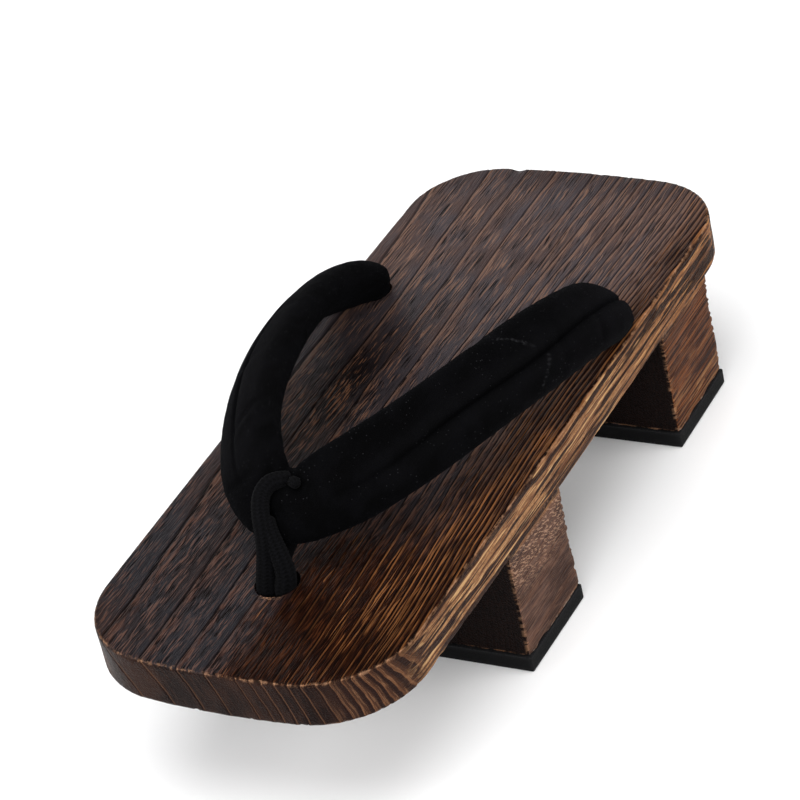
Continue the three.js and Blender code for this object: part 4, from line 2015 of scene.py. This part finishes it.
@dataclass
class FrontTie:
    """The cord that holds the strap's middle down: a loop over it, a second strand and a tucked end."""

    board_top: float
    finish: TieCord = TieCord()
    radius: float = 0.0028
    end_radius: float = 0.0019
    base: float = 1.24
    base_reach: float = 0.015
    taper: float = 0.002
    loop: tuple[Place, ...] = (
        (-2.5, -94.6, -6.0), (-2.4, -94.5, 0.0), (-2.1, -93.2, 4.5), (-2.0, -91.6, 8.8),
        (-2.2, -90.2, 12.8), (-3.0, -88.4, 16.8), (-4.4, -85.6, 20.4), (-5.0, -82.2, 23.6),
        (-3.7, -78.9, 25.6), (-1.3, -76.0, 25.2), (-0.2, -72.9, 22.4), (-0.4, -70.9, 17.6),
        (-0.6, -72.2, 12.6), (-1.0, -75.6, 8.4), (-1.2, -80.2, 5.6), (-1.0, -84.4, 4.2),
        (-0.5, -88.0, 1.8), (-0.3, -89.2, -6.0),
    )
    second: tuple[Place, ...] = (
        (3.1, -93.6, -6.0), (3.2, -93.6, -0.5), (4.0, -92.9, 2.8), (3.5, -92.0, 5.8), (2.2, -90.9, 9.0),
        (0.3, -89.4, 12.6), (-1.8, -87.5, 16.0), (-3.2, -85.2, 18.8),
    )
    tucked: tuple[Place, ...] = (
        (0.4, -74.2, 22.4), (2.0, -75.4, 24.4), (3.6, -76.6, 25.4), (5.2, -77.9, 25.4),
    )
    knot: Knot = Knot(radius=0.0024, ribs=8, drop=0.0044, reach=0.0062, height=0.0036, tail=0.0010, turn=0.4)

    def line(self, route: Sequence[Place]) -> list[Vector]:
        """The centre line, in metres, of a strand whose points stand in millimetres above the board."""
        return catmull([Vector(p) * MM + UP * self.board_top for p in route], STATIONS)

    def build(self) -> bpy.types.Object:
        """Builds and dresses the tie.

        Returns:
            The tie.
        """
        knit = KnitTube(self.radius, base=self.base, base_reach=self.base_reach)
        strands = [
            knit.along("loop", self.line(self.loop)),
            knit.along("second", self.line(self.second), self.taper),
            KnitTube(self.end_radius).along("tucked", self.line(self.tucked), self.taper),
            self.knot.tied("knot", FRONT_HOLE.x, FRONT_HOLE.y, self.board_top - BOARD_THICKNESS),
        ]
        tie = joined(strands, "front_tie_cord")
        smooth(tie)
        dress(tie, self.finish.material())
        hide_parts("front_tie")
        return tie


@dataclass
class StrapKnots:
    """The knots that hold the strap's tails under the board."""

    board_bottom: float
    finish: bpy.types.Material
    knot: Knot = Knot(radius=0.0026, ribs=7, drop=0.0048, reach=0.0056, height=0.0040, tail=0.0008, turn=1.1)

    def build(self) -> list[bpy.types.Object]:
        """Builds and dresses both knots.

        Returns:
            The knots.
        """
        knots = []
        for side, name in ((1, "left"), (-1, "right")):
            turned = replace(self.knot, turn=self.knot.turn * side)
            knot = turned.tied(f"hanao_knot_{name}", side * REAR_HOLE.x, REAR_HOLE.y, self.board_bottom)
            smooth(knot)
            dress(knot, self.finish)
            knots.append(knot)
        return knots


# ---------------------------------------------------------------------------------------------
# The studio
# ---------------------------------------------------------------------------------------------


@dataclass(frozen=True)
class SoftBox:
    """A soft rectangular lamp that looks at the sandal."""

    name: str
    place: Place
    size: tuple[float, float]
    power: float
    colour: Colour = (1.0, 1.0, 1.0)


@dataclass
class Studio:
    """A pale floor, soft lamps and the camera."""

    floor: PaleFloor = PaleFloor()
    azimuth: float = 33.746
    elevation: float = 33.413
    roll: float = -13.257
    place: Place = (0.4849, -0.7336, 0.6393)
    lens: float = 152.81
    film: float = 36.0
    floor_size: float = 12.0
    floor_level: float = -0.0002
    lamp_target: Place = (0.0, 0.0, 0.03)
    sky: float = 0.13
    backdrop: float = 0.95
    lamps: tuple[SoftBox, ...] = (
        SoftBox("back_lamp", (-0.86, 1.30, 0.42), (1.5, 0.56), 4.0),
        SoftBox("top_lamp", (0.05, -0.25, 1.75), (1.9, 1.7), 34.0),
        SoftBox("front_lamp", (0.85, -1.75, 0.95), (2.0, 1.2), 32.0),
        SoftBox("left_lamp", (-1.35, -1.15, 0.80), (1.6, 1.1), 22.0),
        SoftBox("side_lamp", (1.6, 0.25, 0.75), (1.3, 1.0), 18.0, (1.0, 0.98, 0.96)),
    )

    def lay_floor(self) -> None:
        """Lays the floor, wide enough to fill every view."""
        bpy.ops.object.select_all(action="DESELECT")
        bpy.ops.mesh.primitive_plane_add(size=self.floor_size, location=(0.0, 0.0, self.floor_level))
        floor = bpy.context.object
        floor.name = "floor"
        settle(floor)
        floor.data.materials.append(self.floor.material())

    def hang_lamps(self) -> None:
        """Hangs the lamps and lights the room evenly."""
        target = Vector(self.lamp_target)
        for lamp in self.lamps:
            light = bpy.data.lights.new(lamp.name, "AREA")
            light.shape = "RECTANGLE"
            light.size, light.size_y = lamp.size
            light.energy = lamp.power
            light.color = lamp.colour
            hung = bpy.data.objects.new(lamp.name, light)
            hung.location = lamp.place
            hung.visible_camera = False
            hung.rotation_euler = (Vector(lamp.place) - target).to_track_quat("Z", "Y").to_euler()
            bpy.context.scene.collection.objects.link(hung)
        world = bpy.data.worlds.new("room")
        world.use_nodes = True
        tree = world.node_tree
        background = tree.nodes["Background"]
        background.inputs["Color"].default_value = (1.0, 1.0, 1.0, 1.0)
        shown = tree.nodes.new("ShaderNodeMapRange")
        shown.inputs["To Min"].default_value = self.sky
        shown.inputs["To Max"].default_value = self.backdrop
        seen = tree.nodes.new("ShaderNodeLightPath").outputs["Is Camera Ray"]
        tree.links.new(seen, shown.inputs["Value"])
        tree.links.new(shown.outputs["Result"], background.inputs["Strength"])
        bpy.context.scene.world = world

    def set_camera(self) -> None:
        """Places the camera, rolled as it was held."""
        a, e, roll = (math.radians(v) for v in (self.azimuth, self.elevation, self.roll))
        back = Vector((math.sin(a) * math.cos(e), -math.cos(a) * math.cos(e), math.sin(e)))
        right = (-back).cross(UP).normalized()
        up = back.cross(right)
        x = right * math.cos(roll) + up * math.sin(roll)
        y = up * math.cos(roll) - right * math.sin(roll)
        lens = bpy.data.cameras.new("camera")
        lens.lens = self.lens
        lens.sensor_width = self.film
        camera = bpy.data.objects.new("camera", lens)
        turn = Matrix((x, y, back)).transposed().to_4x4()
        camera.matrix_world = Matrix.Translation(Vector(self.place)) @ turn
        bpy.context.scene.collection.objects.link(camera)
        bpy.context.scene.camera = camera
        bpy.context.scene.view_settings.view_transform = "Standard"

    def build(self) -> None:
        """Sets up the floor, lamps and camera."""
        self.set_camera()
        self.lay_floor()
        self.hang_lamps()


def note(*pieces: bpy.types.Object) -> None:
    """Logs finished pieces."""
    for piece in pieces:
        LOG.info("%s has %d faces", piece.name, len(piece.data.polygons))


def main() -> None:
    """Builds the sandal piece by piece in its studio."""
    logging.basicConfig(level=logging.INFO, format="%(name)s: %(message)s")
    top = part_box("dai")[1].z
    Studio().build()
    LOG.info("studio is ready")
    plan = Plan()
    note(Block(plan).build())
    note(*ToothPads(plan).build())
    tie = FrontTie(top)
    tie_line = [point for route in (tie.loop, tie.second, tie.tucked) for point in tie.line(route)]
    strap = Hanao(Arm(top), tie_line).build()
    note(strap)
    note(tie.build())
    note(*StrapKnots(top - BOARD_THICKNESS, strap.data.materials[0]).build())


if __name__ == "__main__":
    main()
